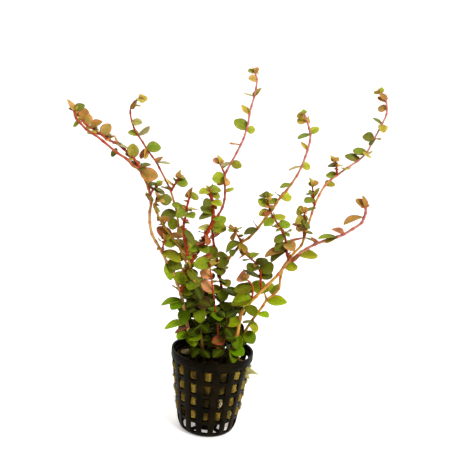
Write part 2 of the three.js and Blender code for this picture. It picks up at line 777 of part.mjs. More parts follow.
function leafPose(base, [across, up, facing], trial) {
  const seen = Math.hypot(across, up);
  const length = Math.max(usualLength(base.z) * trial.size, seen * trial.size * 1.04);
  const away = Math.sqrt(length ** 2 - (seen * trial.size) ** 2) * Math.sign(up * facing || 1) * trial.swing;
  const axis = new THREE.Vector3(across * trial.size, away, up * trial.size).normalize();
  const sight = new THREE.Vector3(-base.x, -EYE_DISTANCE - base.y, EYE_HEIGHT - base.z).normalize();
  const face = sight.clone().addScaledVector(axis, -sight.dot(axis)).normalize();
  const side = new THREE.Vector3().crossVectors(axis, face);
  const roll = Math.acos(Math.min(1, facing));
  const lift = side.z >= 0 ? 1 : -1;
  const normal = face.multiplyScalar(Math.cos(roll)).addScaledVector(side, lift * Math.sin(roll));
  return { axis, normal, across: new THREE.Vector3().crossVectors(axis, normal), length };
}

// A leaf is a flat five-sided blade, thickest in its middle, with its foot just inside the stem's skin.
function leafSolid(base, pose, margin) {
  const blade = new THREE.SphereGeometry(1, 5, 2);
  const half = pose.length / 1.81;
  const width = (pose.length * LEAF.widthPerLength) / 1.9;
  const middle = base.clone().addScaledVector(pose.axis, half + margin);
  const frame = new THREE.Matrix4().makeBasis(
    pose.axis.clone().multiplyScalar(half),
    pose.normal.clone().multiplyScalar(LEAF.thickness / 2 + margin),
    pose.across.clone().multiplyScalar(width + margin),
  );
  return toSolid(blade.applyMatrix4(frame.setPosition(middle)));
}

const TRIALS = [
  { size: 1, swing: 1 },
  { size: 1, swing: -1 },
  { size: 1, swing: 0.6 },
  { size: 1, swing: -0.6 },
  { size: 0.85, swing: 1 },
  { size: 0.85, swing: -1 },
  { size: 0.85, swing: 0.2 },
  { size: 0.7, swing: 1 },
  { size: 0.7, swing: -1 },
  { size: 0.7, swing: 0.2 },
];

function boxesMeet(a, b) {
  return [0, 1, 2].every((i) => a.min[i] <= b.max[i] && b.min[i] <= a.max[i]);
}

function touches(solid, obstacles, own) {
  const box = solid.boundingBox();
  return obstacles.some((other) => {
    if (other.name === own || !boxesMeet(box, other.box)) return false;
    return solid.intersect(other.solid).volume() > 0;
  });
}

function obstacle(name, solid) {
  return { name, solid, box: solid.boundingBox() };
}

// Every leaf takes the first of the trial poses in which it clears all other pieces.
function placeLeaf(plant, middle, leaf, obstacles) {
  for (const trial of TRIALS) {
    const pose = leafPose(middle, leaf, trial);
    const foot = middle.clone().addScaledVector(pose.axis, FOOT_SHARE * plant.radius);
    if (!touches(leafSolid(foot, pose, GAP), obstacles, plant.name)) return leafSolid(foot, pose, 0);
  }
  return null;
}

// A low joint of a bushy stem that shows no leaf to the front still has one, towards the back or the front.
function leavesOf(plant, joint, order) {
  const [, up, ...leaves] = joint;
  const bushy = BUSHY_STEMS.includes(plant.name) && up < BUSHY_BELOW && up > POT.height + 8;
  if (leaves.length === 0 && bushy) return [DEPTH_LEAVES[order % 2]];
  return leaves.filter(([across, height, facing]) => Math.hypot(across, height) * facing > SMALLEST_LEAF);
}

// A leaf grows from the middle line of its stem, a little inside both ends.
function leafOrigin(line, point) {
  let best = null;
  for (let i = 1; i < line.length; i += 1) {
    const near = new THREE.Line3(line[i - 1], line[i]).closestPointToPoint(point, true, new THREE.Vector3());
    if (!best || near.distanceTo(point) < best.distanceTo(point)) best = near;
  }
  const ends = [[line[0], line[1]], [line[line.length - 1], line[line.length - 2]]];
  for (const [end, next] of ends) {
    if (best.distanceTo(end) < FOOT_INSET) {
      return end.clone().lerp(next, FOOT_INSET / end.distanceTo(next));
    }
  }
  return best;
}

function dress(plant, tube, obstacles) {
  let whole = tube;
  plant.joints.forEach((joint, i) => {
    const base = leafOrigin(plant.line, plant.points[i]);
    for (const leaf of leavesOf(plant, joint, i)) {
      const blade = placeLeaf(plant, base, leaf, obstacles);
      if (blade) {
        obstacles.push(obstacle(plant.name, blade));
        whole = whole.add(blade);
      }
    }
  });
  return whole;
}

// Small loose things on and in the wool.

// A wisp leaves its slot level, then droops and bends: at 0.4, 0.76 and all of its length.
function wisp({ height, out, drop, bend }) {
  const reach = woolRadius(height) + GAP;
  const route = [[reach, 0, height], [reach + 0.4 * out, 0.15 * bend, height + 0.3],
    [reach + 0.76 * out, 0.55 * bend, height - drop / 3], [reach + out, bend, height - drop]];
  const curve = new THREE.CatmullRomCurve3(route.map((point) => new THREE.Vector3(...point)));
  const turn = POT.turn + (360 / POT.columns) * WISP_COLUMN;
  return toSolid(turned(tubeAlong(curve, WISP_RADIUS, 5), turn));
}

function dryLeaf() {
  const { across, back, lift, half, tilt, turn } = DRY_LEAF;
  const blade = new THREE.SphereGeometry(1, 6, 2).rotateX(Math.PI / 2);
  blade.scale(...half).rotateX(tilt).rotateZ(turn);
  return toSolid(blade.translate(across, back, woolTop(back) + lift));
}

function granule() {
  const { across, back, lift, radius, shape } = GRANULE;
  const lump = new THREE.IcosahedronGeometry(radius, 0).scale(...shape);
  return toSolid(lump.translate(across, back, woolTop(back) + lift));
}

// Assembly.

function meshOf(name, solid, colour, roughness) {
  const material = new THREE.MeshStandardMaterial({ color: colour, roughness, metalness: 0 });
  const mesh = new THREE.Mesh(toGeometry(solid), material);
  mesh.name = name;
  return mesh;
}

function growAll() {
  const grown = new Map();
  for (const plant of PLANTS) grown.set(plant.name, layRoute(plant, grown.get(plant.from)));
  return [...grown.values()];
}

function build() {
  const group = new THREE.Group();
  const plants = growAll();
  const pot = netPot();
  const plug = woolPlug(plants.filter((plant) => plant.root));
  const upper = wisp(UPPER_WISP);
  const lower = wisp(LOWER_WISP);
  const fallen = dryLeaf();
  const grain = granule();
  group.add(meshOf('net_pot', pot, COLOURS.pot, 0.45));
  group.add(meshOf('wool_plug', plug, COLOURS.wool, 0.95));
  group.add(meshOf('wool_wisp_upper', upper, COLOURS.wool, 0.95));
  group.add(meshOf('wool_wisp_lower', lower, COLOURS.wool, 0.95));
  group.add(meshOf('dry_leaf', fallen, COLOURS.dryLeaf, 0.8));
  group.add(meshOf('pale_granule', grain, COLOURS.granule, 0.8));
  const obstacles = [pot, plug, upper, lower, fallen, grain].map((solid) => obstacle('', solid));
  const tubes = plants.map((plant) => toSolid(tubeAlong(plant.curve, plant.radius, plant.steps)));
  plants.forEach((plant, i) => obstacles.push(obstacle(plant.name, tubes[i])));
  plants.forEach((plant, i) => {
    group.add(meshOf(plant.name, dress(plant, tubes[i], obstacles), COLOURS.leaf, 0.5));
  });
  return group;
}

export default build();
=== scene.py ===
# %% [markdown]
# # Orange juice rotala in a net pot
#
# Orange juice rotala is a stem plant for aquariums. A bunch of cut stems is sold in a small black net pot,
# held by a plug of yellow mineral wool. The stems are thin, tan at the foot and pink towards the tip, and
# they carry small round leaves in opposite pairs, green low down and rosy brown where the light is strong.
#
# This lesson dresses the plain solids of that plant. Every piece is a surface worked out with numpy, and
# every finish is made of nodes. All sizes are in millimetres until a mesh is made, and metres in Blender.

# %% Load the fixed frame
import json

import bpy
import numpy as np
from mathutils import Matrix

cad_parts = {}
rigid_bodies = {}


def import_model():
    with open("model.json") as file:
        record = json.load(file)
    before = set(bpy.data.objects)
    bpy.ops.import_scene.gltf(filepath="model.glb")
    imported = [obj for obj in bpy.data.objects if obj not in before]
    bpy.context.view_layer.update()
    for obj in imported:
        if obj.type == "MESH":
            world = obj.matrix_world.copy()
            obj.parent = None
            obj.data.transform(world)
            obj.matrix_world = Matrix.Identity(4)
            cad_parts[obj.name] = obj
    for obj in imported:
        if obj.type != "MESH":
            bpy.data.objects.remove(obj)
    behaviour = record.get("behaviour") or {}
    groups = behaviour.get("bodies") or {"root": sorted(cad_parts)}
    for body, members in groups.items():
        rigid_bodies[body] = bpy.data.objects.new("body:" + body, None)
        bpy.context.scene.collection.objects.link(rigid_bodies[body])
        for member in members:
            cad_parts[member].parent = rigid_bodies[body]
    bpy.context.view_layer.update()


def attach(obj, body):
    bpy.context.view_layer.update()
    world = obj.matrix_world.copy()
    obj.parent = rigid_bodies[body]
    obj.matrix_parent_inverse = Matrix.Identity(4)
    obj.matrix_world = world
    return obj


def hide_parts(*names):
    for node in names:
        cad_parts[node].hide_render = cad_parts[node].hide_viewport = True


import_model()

MM = 0.001

# %% [markdown]
# ## One way to make a mesh
#
# Stems, leaves, roots and fibres are all skins: rings of points carried along a path, closed by a pole at
# either end. One function joins many skins of the same make at once, so all the leaves of a stem cost one
# call.

# %% Helper: from arrays to a mesh object
def put_mesh(name, points, quads, triangles, layers=(), uv=None):
    """A mesh object from arrays in millimetres. layers holds (name, values per point), and uv holds one pair
    for each point."""
    corners = np.concatenate([quads.ravel(), triangles.ravel()]).astype(np.int32)
    starts = np.concatenate([4 * np.arange(len(quads)), 4 * len(quads) + 3 * np.arange(len(triangles))])
    mesh = bpy.data.meshes.new(name)
    mesh.vertices.add(len(points))
    mesh.vertices.foreach_set("co", (points * MM).astype(np.float32).ravel())
    mesh.loops.add(len(corners))
    mesh.loops.foreach_set("vertex_index", corners)
    mesh.polygons.add(len(starts))
    mesh.polygons.foreach_set("loop_start", starts.astype(np.int32))
    mesh.polygons.foreach_set("use_smooth", np.ones(len(starts), bool))
    for label, values in layers:
        kind = "FLOAT_COLOR" if values.ndim == 2 else "FLOAT"
        layer = mesh.attributes.new(label, kind, "POINT")
        if kind == "FLOAT":
            layer.data.foreach_set("value", values.astype(np.float32))
        else:
            rgba = np.concatenate([values, np.ones((len(values), 1))], 1)
            layer.data.foreach_set("color", rgba.astype(np.float32).ravel())
    if uv is not None:
        mesh.uv_layers.new(name="UVMap").data.foreach_set("uv", uv[corners].astype(np.float32).ravel())
    mesh.update(calc_edges=True)
    piece = bpy.data.objects.new(name, mesh)
    bpy.context.scene.collection.objects.link(piece)
    return piece


# %% Helper: closed skins
def close_skins(rings, foot, tip):
    """K closed skins from rings (K, N, M, 3) that run the right-hand way round their path, and the two poles
    of each (K, 3). Point order in a skin: its rings one after another, then the foot, then the tip."""
    count, along, around, _ = rings.shape
    per_skin = along * around + 2
    points = np.concatenate([rings.reshape(count, -1, 3), foot[:, None], tip[:, None]], 1).reshape(-1, 3)
    ring, spot = np.meshgrid(np.arange(along - 1), np.arange(around), indexing="ij")
    beside = (spot + 1) % around
    quad = np.stack([ring * around + spot, ring * around + beside,
                     (ring + 1) * around + beside, (ring + 1) * around + spot], -1).reshape(-1, 4)
    first = np.arange(around)
    second = (first + 1) % around
    last = (along - 1) * around
    foot_fan = np.stack([np.full(around, along * around), second, first], -1)
    tip_fan = np.stack([np.full(around, along * around + 1), last + first, last + second], -1)
    fan = np.concatenate([foot_fan, tip_fan])
    shift = per_skin * np.arange(count)[:, None, None]
    return points, (quad[None] + shift).reshape(-1, 4), (fan[None] + shift).reshape(-1, 3)


def join_skins(groups):
    """One set of points, quads and triangles from several: each counts its corners on from the last."""
    points, quads, fans = zip(*groups)
    first = np.cumsum([0] + [len(part) for part in points[:-1]])
    quads = [part + start for part, start in zip(quads, first)]
    fans = [part + start for part, start in zip(fans, first)]
    return np.concatenate(points), np.concatenate(quads), np.concatenate(fans)


def turned(radius, angle, height):
    """Points at a radius and an angle about the upright axis, at a height."""
    return np.stack(np.broadcast_arrays(radius * np.cos(angle), radius * np.sin(angle), height), -1)


def unit(vectors):
    return vectors / np.maximum(np.linalg.norm(vectors, axis=-1, keepdims=True), 1e-9)


# %% Helper: tubes along paths
FOOT_CONE = 0.4
TIP_CONE = 0.8


def tubes(paths, radii, around, reference=(0.0, 1.0, 0.0)):
    """Closed tubes about K paths (K, N, 3), with a blunt cone on either end. A ring's first direction is the
    reference made square to the path, so a run never twists, and the second is the path's direction crossed
    with the first."""
    ahead = unit(np.gradient(paths, axis=1))
    given = np.broadcast_to(np.asarray(reference, float), paths.shape)
    first = unit(given - ahead * np.sum(given * ahead, -1, keepdims=True))
    second = np.cross(ahead, first)
    angle = np.linspace(0, 2 * np.pi, around, endpoint=False)[:, None]
    circle = np.cos(angle) * first[:, :, None] + np.sin(angle) * second[:, :, None]
    rings = paths[:, :, None] + radii[:, :, None, None] * circle
    foot = paths[:, 0] - FOOT_CONE * radii[:, :1] * ahead[:, 0]
    tip = paths[:, -1] + TIP_CONE * radii[:, -1:] * ahead[:, -1]
    return close_skins(rings, foot, tip)


# %% Helper: smooth lumps
LUMP_WAVES = 10


def lumps(points, size, seed):
    """A smooth bumpy number from -1 to 1 at each point: the mean of cosine waves in random directions."""
    rng = np.random.default_rng(seed)
    heading = unit(rng.normal(size=(LUMP_WAVES, 3)))
    way = heading * (2 * np.pi / size) * rng.uniform(0.6, 1.4, (LUMP_WAVES, 1))
    phase = rng.uniform(0, 2 * np.pi, LUMP_WAVES)
    return np.cos(points @ way.T + phase).mean(-1) * np.sqrt(2.0)


def smoothstep(low, high, value):
    """0 before low and 1 after high, with an easy bend at either end. It also runs from high to low."""
    share = np.clip((value - low) / (high - low), 0, 1)
    return share * share * (3 - 2 * share)


# %% [markdown]
# ## Finishes from nodes
#
# A finish is a Principled shader with patterns wired into its colour, roughness and bump. The helpers below
# keep each of them short. Numbers that are the same all over go straight onto the shader.

# %% Helpers for node materials
def new_finish(name, **settings):
    """A node material, with the plain settings put on the Principled shader's own sockets."""
    finish = bpy.data.materials.new(name)
    finish.use_nodes = True
    shader = finish.node_tree.nodes["Principled BSDF"]
    for socket, value in settings.items():
        shader.inputs[socket.replace("_", " ")].default_value = value
    return finish, finish.node_tree, shader


def node(tree, kind, settings=None, **inputs):
    """Adds a node: settings are its own properties, inputs are numbers, colours or other nodes' outputs."""
    made = tree.nodes.new(kind)
    for key, value in (settings or {}).items():
        setattr(made, key, value)
    for key, value in inputs.items():
        socket = made.inputs[int(key[1:])] if key[0] == "i" and key[1:].isdigit() else made.inputs[key]
        if isinstance(value, bpy.types.NodeSocket):
            tree.links.new(value, socket)
        else:
            socket.default_value = value
    return made


def object_place(tree):
    return node(tree, "ShaderNodeTexCoord").outputs["Object"]


def mesh_layer(tree, name, kind="Fac"):
    """The values that put_mesh stored at the points under this name."""
    return node(tree, "ShaderNodeAttribute", {"attribute_name": name}).outputs[kind]


def noise(tree, place, scale, detail, roughness=0.55):
    return node(tree, "ShaderNodeTexNoise", Vector=place, Scale=scale, Detail=detail,
                Roughness=roughness).outputs["Fac"]


def remap(tree, value, low, high, to_low=0.0, to_high=1.0):
    return node(tree, "ShaderNodeMapRange", {"clamp": True}, i0=value, i1=low, i2=high, i3=to_low,
                i4=to_high).outputs[0]


def blend_colours(tree, share, first, second, kind="MIX"):
    return node(tree, "ShaderNodeMix", {"data_type": "RGBA", "blend_type": kind}, i0=share, i6=first,
                i7=second).outputs[2]


def tinted(tree, colour, tint):
    return blend_colours(tree, 1.0, colour, tint, "MULTIPLY")


def maths(tree, kind, first, second=0.5):
    return node(tree, "ShaderNodeMath", {"operation": kind}, i0=first, i1=second).outputs[0]


def bump(tree, height, strength, distance):
    return node(tree, "ShaderNodeBump", Strength=strength, Distance=distance, Height=height).outputs[0]


def wire(tree, shader, **outputs):
    """Links the outputs of nodes to the Principled shader's own sockets."""
    for socket, output in outputs.items():
        tree.links.new(output, shader.inputs[socket.replace("_", " ")])


def srgb(red, green, blue):
    """A colour read on screen, 0 to 255, as the linear numbers that Blender uses."""
    value = np.array([red, green, blue]) / 255
    linear = np.where(value <= 0.04045, value / 12.92, ((value + 0.055) / 1.055) ** 2.4)
    return (*[float(v) for v in linear], 1.0)


def grained_finish(name, scale, detail, reach, dark, pale, relief=0.0, **settings):
    """Noise blends the dark colour into the pale one over its reach, and may stand in relief as well."""
    finish, tree, shader = new_finish(name, **settings)
    grain = noise(tree, object_place(tree), scale, detail)
    wire(tree, shader, Base_Color=blend_colours(tree, remap(tree, grain, *reach), dark, pale))
    if relief:
        wire(tree, shader, Normal=bump(tree, grain, relief, 0.0003))
    return finish


# %% [markdown]
# ## The camera
#
# The picture was taken from close by, about a third of a metre away, from above the rim and tilted a little.
# The distance, height and angles below were found by fitting the rim and the foot of the pot, which are
# circles of a known size. A longer lens would show less of the pot's inside, so the distance matters.

# %% Camera at the photograph's viewing angle
EYE = np.array([0.0, -362.0, 187.0])
PITCH_DOWN = np.radians(9.5)
ROLL = np.radians(4.8)
YAW = np.radians(0.3)
FOCAL_PIXELS = 621.0
PICTURE_PIXELS = 452.0
SENSOR_WIDTH = 36.0


def camera_axes():
    """The camera's right, up and forward directions: turned by the yaw, pitched down, then rolled."""
    sin_yaw, cos_yaw = np.sin(YAW), np.cos(YAW)
    sin_pitch, cos_pitch = np.sin(PITCH_DOWN), np.cos(PITCH_DOWN)
    forward = np.array([sin_yaw * cos_pitch, cos_yaw * cos_pitch, -sin_pitch])
    level = np.array([cos_yaw, -sin_yaw, 0.0])
    upright = np.cross(level, forward)
    right = level * np.cos(ROLL) + upright * np.sin(ROLL)
    up = -level * np.sin(ROLL) + upright * np.cos(ROLL)
    return right, up, forward


camera = bpy.data.objects.new("camera", bpy.data.cameras.new("camera"))
bpy.context.scene.collection.objects.link(camera)
bpy.context.scene.camera = camera
right, up, forward = camera_axes()
turn = Matrix(np.column_stack([right, up, -forward]).tolist()).to_4x4()
camera.matrix_world = Matrix.Translation(EYE * MM) @ turn
camera.data.lens = SENSOR_WIDTH * FOCAL_PIXELS / PICTURE_PIXELS
camera.data.sensor_width = SENSOR_WIDTH
camera.data.clip_start = 0.01
print("the lens is", round(camera.data.lens, 1), "mm")

# %% [markdown]
# ## Floor and light
#
# The plant stands on white paper that curves up behind it, so there is no horizon. The paper is nearly
# burnt out by the light and shines up between the bars of the pot, as a light table does, so it is given a
# soft glow of its own. One profile, flat and then rising in a quarter circle, is drawn out sideways: that is
# cheaper than a cloth and has no edge in the picture.

# %% Paper sweep
SWEEP_FRONT = -700.0
SWEEP_BEND = 420.0
SWEEP_RADIUS = 400.0
SWEEP_TOP = 1500.0
SWEEP_HALF_WIDTH = 1300.0
SWEEP_STEPS = 24


def sweep_profile():
    """Depth and height along the paper: level, a quarter circle, then straight up."""
    angle = np.linspace(0, np.pi / 2, SWEEP_STEPS)
    depth = SWEEP_BEND + SWEEP_RADIUS * np.sin(angle)
    height = SWEEP_RADIUS * (1 - np.cos(angle))
    depth = np.concatenate([[SWEEP_FRONT], depth, [depth[-1]]])
    height = np.concatenate([[0.0], height, [SWEEP_TOP]])
    return depth, height


def paper_sweep():
    """One strip of cells between the two edges of the paper."""
    depth, height = sweep_profile()
    side = np.array([-SWEEP_HALF_WIDTH, SWEEP_HALF_WIDTH])
    points = np.stack(np.broadcast_arrays(side[None, :], depth[:, None], height[:, None]), -1)
    row = np.arange(len(depth) - 1) * 2
    cells = np.stack([row, row + 1, row + 3, row + 2], -1)
    return put_mesh("paper_sweep", points.reshape(-1, 3), cells, np.zeros((0, 3), int))


paper = paper_sweep()
white_paper, _, _ = new_finish("white_paper", Base_Color=(0.9, 0.885, 0.875, 1), Roughness=0.9,
                               Emission_Color=(1, 0.975, 0.955, 1), Emission_Strength=0.4)
paper.data.materials.append(white_paper)

# %% Soft light
def area_light(name, place, aim, size, watts):
    """A round lamp of a size in millimetres, turned to shine on the point that it aims at."""
    lamp = bpy.data.objects.new(name, bpy.data.lights.new(name, "AREA"))
    lamp.data.shape = "DISK"
    lamp.data.size = size * MM
    lamp.data.energy = watts
    bpy.context.scene.collection.objects.link(lamp)
    away = unit(np.subtract(place, aim))
    side = unit(np.cross([0, 0, 1], away))
    axes = np.column_stack([side, np.cross(away, side), away])
    lamp.matrix_world = Matrix.Translation(np.array(place) * MM) @ Matrix(axes.tolist()).to_4x4()


world = bpy.data.worlds.new("studio")
bpy.context.scene.world = world
world.use_nodes = True
sky = world.node_tree.nodes["Background"].inputs
sky["Color"].default_value = (1, 1, 1, 1)
sky["Strength"].default_value = 0.22
area_light("window", place=(500, -550, 700), aim=(0, 0, 90), size=420, watts=9)
area_light("ceiling", place=(-150, 200, 800), aim=(0, 0, 60), size=600, watts=3)
bpy.context.scene.view_settings.view_transform = "Standard"
print("the light is a window from the right, a ceiling lamp and a white room")

# %% [markdown]
# ## The net pot
#
# The real pot is one moulding of black plastic: a tapered basket with sixteen upright ribs, five rings of
# slots, a plain band round the rim, and a floor with a hub and four spokes. Cutting eighty holes with
# booleans is slow and leaves a poor mesh. Here the outside is one sheet, a profile turned about the axis on
# a grid whose lines run along the edges of the slots. The cells in the slots are left out, Solidify gives
# the wall its thickness, and Bevel rounds every edge as a mould does.

# %% Sizes of the pot
POT_HEIGHT = 50.0
RIM_RADIUS = 25.0
BAND_HEIGHT = 4.6
WALL_TOP_RADIUS = 24.3
WALL_FOOT_RADIUS = 18.2
CORNER_HEIGHT = 5.0
WALL = 1.2
MOULD_EDGE = 0.22
COLUMNS = 16
COLUMN_PITCH = 2 * np.pi / COLUMNS
POT_TURN = -2.7
FIRST_COLUMN = np.radians(POT_TURN - 90)
SLOT_FIRST_TOP = 44.2
SLOT_PITCH = 8.7
SLOT_HEIGHT = 6.4
SLOT_ROWS = 5
SLOT_HALF_ANGLE = 0.098
SLOT_CELLS = 3
BAR_CELLS = 2
FLOOR_HUB = 7.0
FLOOR_RING = 14.5
FLOOR_SPOKES = 4
SPOKE_WIDTH = 2.2
RIB_RELIEF = 0.35
RIB_SECTION = np.array([0, -1, -1, 0, 0.75, 1, 1, 0.75])
RIB_FADE = (2.5, 6.0)
TOUCH = 0.01
FOOT_ROWS = [(WALL_FOOT_RADIUS, CORNER_HEIGHT, 1), (17.6, 3.0, 0), (16.8, 1.3, 0), (15.6, 0.3, 0),
             (14.9, 0.0, 0), (FLOOR_RING, 0.0, 2), (10.5, 0.0, 2), (FLOOR_HUB, 0.0, 0), (4.0, 0.0, 0)]


def wall_radius(z):
    """The outside of the wall: a straight taper from the corner to the band."""
    rise = (z - CORNER_HEIGHT) / (POT_HEIGHT - BAND_HEIGHT - CORNER_HEIGHT)
    return WALL_FOOT_RADIUS + (WALL_TOP_RADIUS - WALL_FOOT_RADIUS) * rise


# %% The pot's profile and its grid
def slot_spans():
    """The top and bottom height of each ring of slots."""
    tops = SLOT_FIRST_TOP - SLOT_PITCH * np.arange(SLOT_ROWS)
    return np.stack([tops, tops - SLOT_HEIGHT], 1)


def pot_profile():
    """Rows of (radius, height, kind) from the rim down to the floor's centre. Kind is 1 for the cells under
    the row when slots open there in the wall, 2 in the floor, and 0 where the sheet is whole."""
    band_foot = POT_HEIGHT - BAND_HEIGHT
    rows = [(RIM_RADIUS, POT_HEIGHT, 0), (RIM_RADIUS, band_foot + 0.5, 0), (WALL_TOP_RADIUS, band_foot, 0)]
    for top, foot in slot_spans():
        next_top = foot - SLOT_PITCH + SLOT_HEIGHT
        for height in np.linspace(top, foot, SLOT_CELLS + 1)[:-1]:
            rows.append((wall_radius(height), height, 1))
        for height in np.linspace(foot, next_top, BAR_CELLS + 1)[:-1]:
            rows.append((wall_radius(height), height, 0))
    return np.array([row for row in rows if row[1] > CORNER_HEIGHT] + FOOT_ROWS)


def pot_angles(radius, height):
    """The angle of each grid line for each row: four lines across a slot and four more across a rib. In the
    floor the four lines stand a spoke's width apart instead."""
    slot = np.array([-1, -0.34, 0.34, 1.0])
    rib = np.array([0.16, 0.38, 0.62, 0.84])
    spoke = SPOKE_WIDTH / 2 / np.maximum(radius, FLOOR_HUB)
    half = np.where(height < TOUCH, spoke, SLOT_HALF_ANGLE)[:, None]
    line = np.concatenate([slot * half, half + rib * (COLUMN_PITCH - 2 * half)], 1)
    column = np.arange(COLUMNS) * COLUMN_PITCH + FIRST_COLUMN
    return (column[None, :, None] + line[:, None, :]).reshape(len(radius), -1)


# %% The pot's sheet
def pot_sheet():
    """x = r cos a, y = r sin a on the grid, with each upright rib standing a little proud of the rings. Grid
    points that only open cells share are left out, so the mesh holds the moulding alone."""
    profile = pot_profile()
    radius, height, kind = profile.T
    angle = pot_angles(radius, height)
    wide = angle.shape[1]
    lines = wide // COLUMNS
    on_wall = smoothstep(*RIB_FADE, height) * (height < POT_HEIGHT - BAND_HEIGHT - TOUCH)
    crown = np.tile(RIB_SECTION * RIB_RELIEF / 2, COLUMNS)
    points = turned(radius[:, None] + crown * on_wall[:, None], angle, height[:, None])
    row, spot = np.meshgrid(np.arange(len(profile) - 1), np.arange(wide), indexing="ij")
    beside = (spot + 1) % wide
    cells = np.stack([row * wide + spot, (row + 1) * wide + spot, (row + 1) * wide + beside,
                      row * wide + beside], -1)
    across_slot = spot % lines < SLOT_CELLS
    per_spoke = COLUMNS // FLOOR_SPOKES
    on_spoke = across_slot & (spot // lines % per_spoke == per_spoke // 2)
    open_cell = np.where(kind[:-1, None] == 2, ~on_spoke, (kind[:-1, None] == 1) & across_slot)
    quads = cells[~open_cell]
    last = (len(profile) - 1) * wide
    fan = np.stack([np.full(wide, len(profile) * wide), last + beside[0], last + spot[0]], -1)
    used, corners = np.unique(np.concatenate([quads.ravel(), fan.ravel()]), return_inverse=True)
    points = np.concatenate([points.reshape(-1, 3), np.zeros((1, 3))])[used]
    return points, corners[:quads.size].reshape(-1, 4), corners[quads.size:].reshape(-1, 3)


# %% Wall thickness and rounded edges
def mould(piece, thickness, edge):
    shell = piece.modifiers.new("wall", "SOLIDIFY")
    shell.thickness = thickness * MM
    shell.offset = -1
    shell.use_even_offset = True
    rounding = piece.modifiers.new("mould_radius", "BEVEL")
    rounding.width = edge * MM
    rounding.segments = 2
    rounding.limit_method = "ANGLE"
    rounding.angle_limit = np.radians(40)


def black_plastic():
    """Black polypropylene: nearly black with a brown cast, satin, with faint flow marks and dried film."""
    finish, tree, shader = new_finish("black_plastic", Specular_IOR_Level=0.03)
    place = object_place(tree)
    film = noise(tree, place, 120.0, 5.0)
    grain = noise(tree, place, 900.0, 2.0)
    wire(tree, shader, Normal=bump(tree, grain, 0.25, 0.0002),
         Base_Color=blend_colours(tree, remap(tree, film, 0.42, 0.7), srgb(8, 6, 1), srgb(28, 20, 4)),
         Roughness=remap(tree, film, 0.3, 0.7, 0.3, 0.5))
    return finish


pot = put_mesh("moulded_net_pot", *pot_sheet())
mould(pot, WALL, MOULD_EDGE)
pot.data.materials.append(black_plastic())
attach(pot, "root")
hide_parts("net_pot")
print("the pot's sheet has", len(pot.data.polygons), "cells before its wall is added")

# %% [markdown]
# ## The wool plug
#
# Mineral wool is spun rock, sold as a soft yellow block. It is wedged in the pot and swells out a little
# through the slots. The plug is a skin round the axis with lumps, a bulge in each slot, and a torn top. Over
# it lie thousands of thin fibres, each a short tube that follows the plug's own surface, because the fibres
# and not the lumps are what the eye reads as wool. Patches of it, most behind the middle of the front, are
# painted darker, and painted shade darkens the top's middle under the bunch and the back inside the rim.

# %% Shape of the plug
WOOL_TOP = 42.4
WOOL_EDGE_TOP = 41.4
WOOL_EDGE_RADIUS = 22.0
WOOL_SLOPE = 0.11
WOOL_FOOT = 10.0
WOOL_SIDE_FOOT = 11.5
WOOL_GAP = 0.5
SLOT_BULGE = 2.1
SIDE_BULGE = 0.35
BULGE_ACROSS = SLOT_HALF_ANGLE * np.array([0.45, 0.98])
BULGE_UP = SLOT_HEIGHT * np.array([0.3, 0.49])
LIP_ANGLE = 118.0
LIP_SPREAD = 60.0
LIP_HEIGHT = 5.2
WOOL_LUMP = 0.2
WOOL_DRUM_RADIUS = 20.0
PLUG_AROUND = 240
PLUG_UP = 90


def slot_bulge(angle, z):
    """1 in the middle of a slot, falling to 0 at its edges."""
    off = (angle - FIRST_COLUMN + COLUMN_PITCH / 2) % COLUMN_PITCH - COLUMN_PITCH / 2
    away = np.abs(np.asarray(z)[..., None] - slot_spans().mean(1)).min(-1)
    return (1 - smoothstep(*BULGE_ACROSS, np.abs(off))) * (1 - smoothstep(*BULGE_UP, away))


def plug_radius(angle, z):
    """The wall's inside, less the gap and some lumps, plus the bulge where a slot lets the wool out. The
    lumps are read on a straight drum, so that they don't depend on the radius."""
    around = turned(WOOL_DRUM_RADIUS, angle, z)
    base = wall_radius(z) - WALL - WOOL_GAP - WOOL_LUMP * (1 + lumps(around, size=5.0, seed=3))
    swell = SLOT_BULGE + SIDE_BULGE * np.abs(np.cos(angle)) ** 6
    return base + swell * slot_bulge(angle, z) * (0.85 + 0.3 * lumps(around, size=3.0, seed=8))


def top_edge(angle):
    """The height of the torn top's edge: it slopes down towards the back, and a lip of wool stands against
    the wall at LIP_ANGLE."""
    off = (np.degrees(angle) - LIP_ANGLE + 180) % 360 - 180
    lip = LIP_HEIGHT * np.exp(-(off / LIP_SPREAD) ** 6)
    return WOOL_EDGE_TOP - WOOL_SLOPE * WOOL_EDGE_RADIUS * np.sin(angle) + lip


def plug_rings():
    """Rings from the foot to the top edge at the plug's radius, then inwards over the torn top."""
    angle = np.linspace(0, 2 * np.pi, PLUG_AROUND, endpoint=False)
    rise = np.linspace(0, 1, PLUG_UP)[:, None]
    side_z = WOOL_SIDE_FOOT + (top_edge(angle) - WOOL_SIDE_FOOT) * rise
    side_r = plug_radius(np.broadcast_to(angle, side_z.shape), side_z)
    foot_r = side_r[:1] * np.array([0.35, 0.7, 0.93])[:, None]
    foot_z = np.broadcast_to(WOOL_FOOT + np.array([0.0, 0.0, 0.45])[:, None], foot_r.shape)
    top_share = np.array([0.94, 0.82, 0.66, 0.5, 0.34, 0.16])[:, None]
    top_r = side_r[-1:] * top_share
    top_spot = turned(top_r, angle, 0.0)
    dome = WOOL_EDGE_TOP + (WOOL_TOP - WOOL_EDGE_TOP) * (1 - top_share ** 2)
    top_z = dome - WOOL_SLOPE * top_spot[..., 1] - 0.5 * (1 + lumps(top_spot, size=6.0, seed=5))
    return turned(np.concatenate([foot_r, side_r, top_r]), angle, np.concatenate([foot_z, side_z, top_z]))


